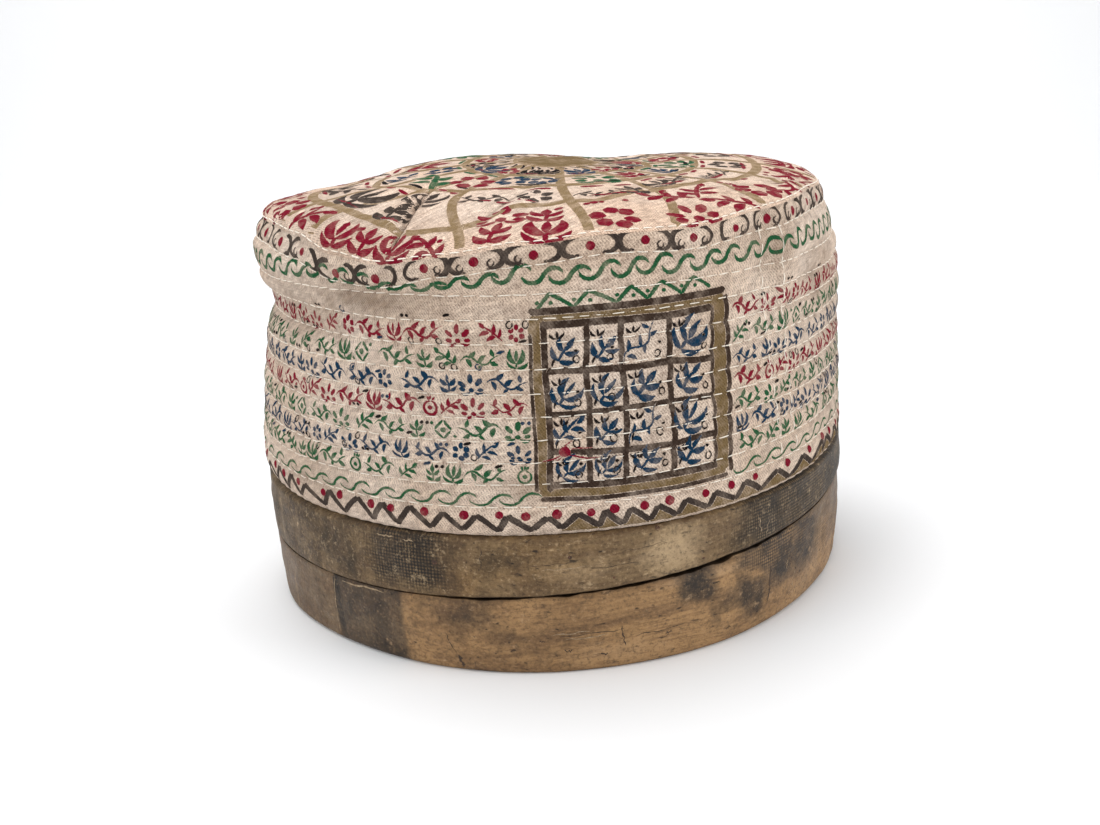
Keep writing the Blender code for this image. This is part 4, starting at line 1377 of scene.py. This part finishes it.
# Marks in the wood as kind, angle and height of one end, angle and height of the other, and width. The kinds
# are 0 dark crack, 1 pale scratch and 2 nail hole.
woodMarks = dict(
    lower=[
        (0, -99.4, 13, -99, 6.5, 0.4), (0, -68.7, 18, -69.3, 6, 0.6), (1, -157, 20.5, -158.6, 1, 0.4),
        (0, -129.5, 12, -127.9, 5, 0.35), (0, -127.4, 5, -126.8, 1.5, 1.2), (1, -154.5, 20.2, -142.5, 20.9, 0.5),
        (0, -109, 7, -107.6, 6.9, 0.6), (0, -113, 10.2, -112, 10.1, 0.5), (0, -103, 5, -101.8, 5, 0.6),
        (0, -92, 8.5, -90.8, 8.5, 0.5), (1, -109, 10.6, -101.5, 11, 0.35), (1, -111, 12.2, -104.6, 12.6, 0.3),
        (0, -110, 11.4, -99, 11.8, 0.25), (0, -97, 9.4, -88, 9.9, 0.25), (0, 70, 18, 70.6, 6, 0.5),
        (0, 132, 16, 131, 4, 0.4), (1, -60, 12, -60.6, 6, 0.4), (1, -63, 17, -63.2, 14, 0.4),
        (0, -80, 4.4, -78.8, 4.4, 0.6)],
    upper=[
        (2, -130.3, 32.8, -130.3, 32.8, 1.5), (2, -107.3, 35, -107.3, 35, 1), (2, -93, 40, -93, 40, 1.2),
        (2, -100.5, 28, -100.5, 28, 0.6), (2, -84.8, 28.3, -84.8, 28.3, 0.8),
        (1, -142.5, 38.6, -138.4, 38.4, 0.5), (1, -136.6, 38.2, -134.2, 38.1, 0.35), (2, 96, 36, 96, 36, 1.1),
        (0, -114, 33, -106, 33.4, 0.2), (0, -104, 31.2, -96, 31.6, 0.2), (0, -99, 35.4, -92, 35.9, 0.2),
        (1, -112, 31.8, -104, 32.2, 0.25), (1, -72.2, 35, -71.8, 30, 0.35), (1, -69.6, 33, -70.4, 28, 0.3),
        (0, -121.5, 38, -121.9, 32, 0.25)],
)
markShape = dict(lift=(0.042, 0.07, 0.042), degree=1.5)    # height across a mark, and millimetres in a degree
markMaterials = dict(
    Cracks=speckled("crackDark", 1200, (0.4, 0.65), rgba(44, 33, 24), rgba(74, 55, 38), Roughness=0.7),
    Scratches=speckled("scratchPale", 1200, (0.4, 0.65), rgba(168, 146, 116), rgba(126, 104, 78), Roughness=0.7),
    NailHoles=speckled("nailRust", 1200, (0.4, 0.65), rgba(44, 28, 20), rgba(96, 62, 38), Roughness=0.7),
)


def markStrip(rng, k, kind, x, y, xEnd, yEnd, width):
    # A thin wandering strip, or for a nail hole a small uneven disc.
    if kind == 2:
        t, side = halfCircle(11)
        side = side * (1 + 0.2 * rng.uniform(-1, 1, 11))
        line, across = np.stack([x + 0.5 * width * t / markShape["degree"], y + 0 * t], 1), np.array([0, 1])
    else:
        t, line = np.linspace(-1, 1, 40), curve((x, y), (xEnd, yEnd), 0, 0.2)
        places = np.linspace(0, len(line) - 1, len(t))
        places = np.floor(places) if len(line) >= len(t) else places
        line = np.stack([np.interp(places, np.arange(len(line)), column) for column in line.T], 1)
        across = np.array([1 / markShape["degree"], 0]) if abs(yEnd - y) > 2 else np.array([0, 1])
        line = line + across * (0.35 * softNoise(720 + k, 9, 3, np.linspace(0.1, 0.9, 40), 0.3))[:, None]
        uneven = 0.75 + 0.45 * softNoise(750 + k, 17, 3, np.linspace(0, 0.95, 40), 0.6)
        side = np.sqrt(1 - np.abs(t) ** 3) * uneven
    flat = line[:, None] + across * (0.5 * width * side[:, None] * [-1, 0, 1])[..., None]
    return np.dstack([flat, 0 * side[:, None] + markShape["lift"]])


def makeWoodMarks():
    rng = newRandom(700)
    for board, marks in woodMarks.items():
        for kind, (label, material) in enumerate(markMaterials.items()):
            strips = [markStrip(rng, k, *mark) for k, mark in enumerate(m for m in marks if m[0] == kind)]
            if strips:
                values, faces = joined(strips)
                points = onBoard(board, values[:, :2], values[:, 2])
                faces = facedOut(points, faces, [1, 1, 0]).tolist()
                addPiece(board + label, points, faces, material, board + "_wood")


makeWoodMarks()
print("block made")

# Floor, lights and camera

camera = dict(place=(-0.13682, -0.36889, 0.16349), aim=19.465, pitch=-15.968, roll=-3.076, focal=1250, width=1100,
              sensor=36)
studio = dict(key=6.4, fill=8.8, top=10.4, wall=10, sky=0.44)


def stand(thing, side, up, away, place):
    # Turns and places a lamp or camera by its own axes.
    thing.matrix_world = Matrix([*np.transpose([side, up, away, place]).tolist(), [0, 0, 0, 1]])


def makeBackdrop():
    # A floor that curves up into a wall behind the object, wide across the camera's view.
    t = np.linspace(0, np.pi / 2, 24)[1:]
    bend = np.stack([1 + 0.6 * np.sin(t), 0.6 * (1 - np.cos(t))], axis=1)
    profile = np.concatenate([np.stack([np.linspace(-2, 1, 12), np.zeros(12)], axis=1), bend, [[1.6, 2.4]]])
    aim = np.radians(camera["aim"])
    forward, right = np.array([np.sin(aim), np.cos(aim), 0]), np.array([np.cos(aim), -np.sin(aim), 0])
    sides = np.array([-2.6, 2.6])[:, None] * right
    points = profile[:, None, :1] * forward + sides + profile[:, None, 1:] * [0, 0, 1]
    mesh = bpy.data.meshes.new("backdrop")
    mesh.from_pydata(points.reshape(-1, 3).tolist(), [], stripFaces(len(profile), 2)[:, [0, 3, 2, 1]].tolist())
    mesh.shade_smooth()
    mesh.materials.append(finish(newMaterial("paleFloor")[0], Base_Color=(0.885, 0.892, 0.903, 1), Roughness=0.9))
    linked("backdrop", mesh)


def addLight(name, place, size, energy, target=(0, 0, 0.07)):
    light = bpy.data.lights.new(name, "AREA")
    light.shape = "SQUARE"
    light.size = size
    light.energy = energy
    away = unit(np.subtract(place, target))
    side = unit(np.cross([0, 0, 1], away))
    stand(linked(name, light), side, np.cross(away, side), away, place)


def makeCamera():
    aim, pitch, roll = (np.radians(camera[key]) for key in ("aim", "pitch", "roll"))
    forward = np.array([np.sin(aim) * np.cos(pitch), np.cos(aim) * np.cos(pitch), np.sin(pitch)])
    right = np.array([np.cos(aim), -np.sin(aim), 0])
    up = np.cross(right, forward)
    data = bpy.data.cameras.new("photoView")
    data.sensor_width = camera["sensor"]
    data.lens = camera["focal"] / camera["width"] * camera["sensor"]
    data.clip_start = 0.01
    seen = linked("photoView", data)
    side, top = right * np.cos(roll) + up * np.sin(roll), up * np.cos(roll) - right * np.sin(roll)
    stand(seen, side, top, -forward, camera["place"])
    bpy.context.scene.camera = seen


makeBackdrop()
world = bpy.data.worlds.new("studio")
world.use_nodes = True
sky = world.node_tree.nodes["Background"].inputs
sky["Color"].default_value = (1, 1, 1, 1)
sky["Strength"].default_value = studio["sky"]
bpy.context.scene.world = world
bpy.context.scene.view_settings.view_transform = "Standard"
addLight("keyLight", (-1.2, -0.4, 0.8), 0.8, studio["key"])
addLight("fillLight", (1.02, -0.84, 0.56), 0.7, studio["fill"])
addLight("topLight", (-0.18, 0.12, 1.38), 0.9, studio["top"])
addLight("wallLight", (0.25, 0.75, 1.5), 1.6, studio["wall"], (0.6, 1.7, 0.45))
makeCamera()
print("studio ready")
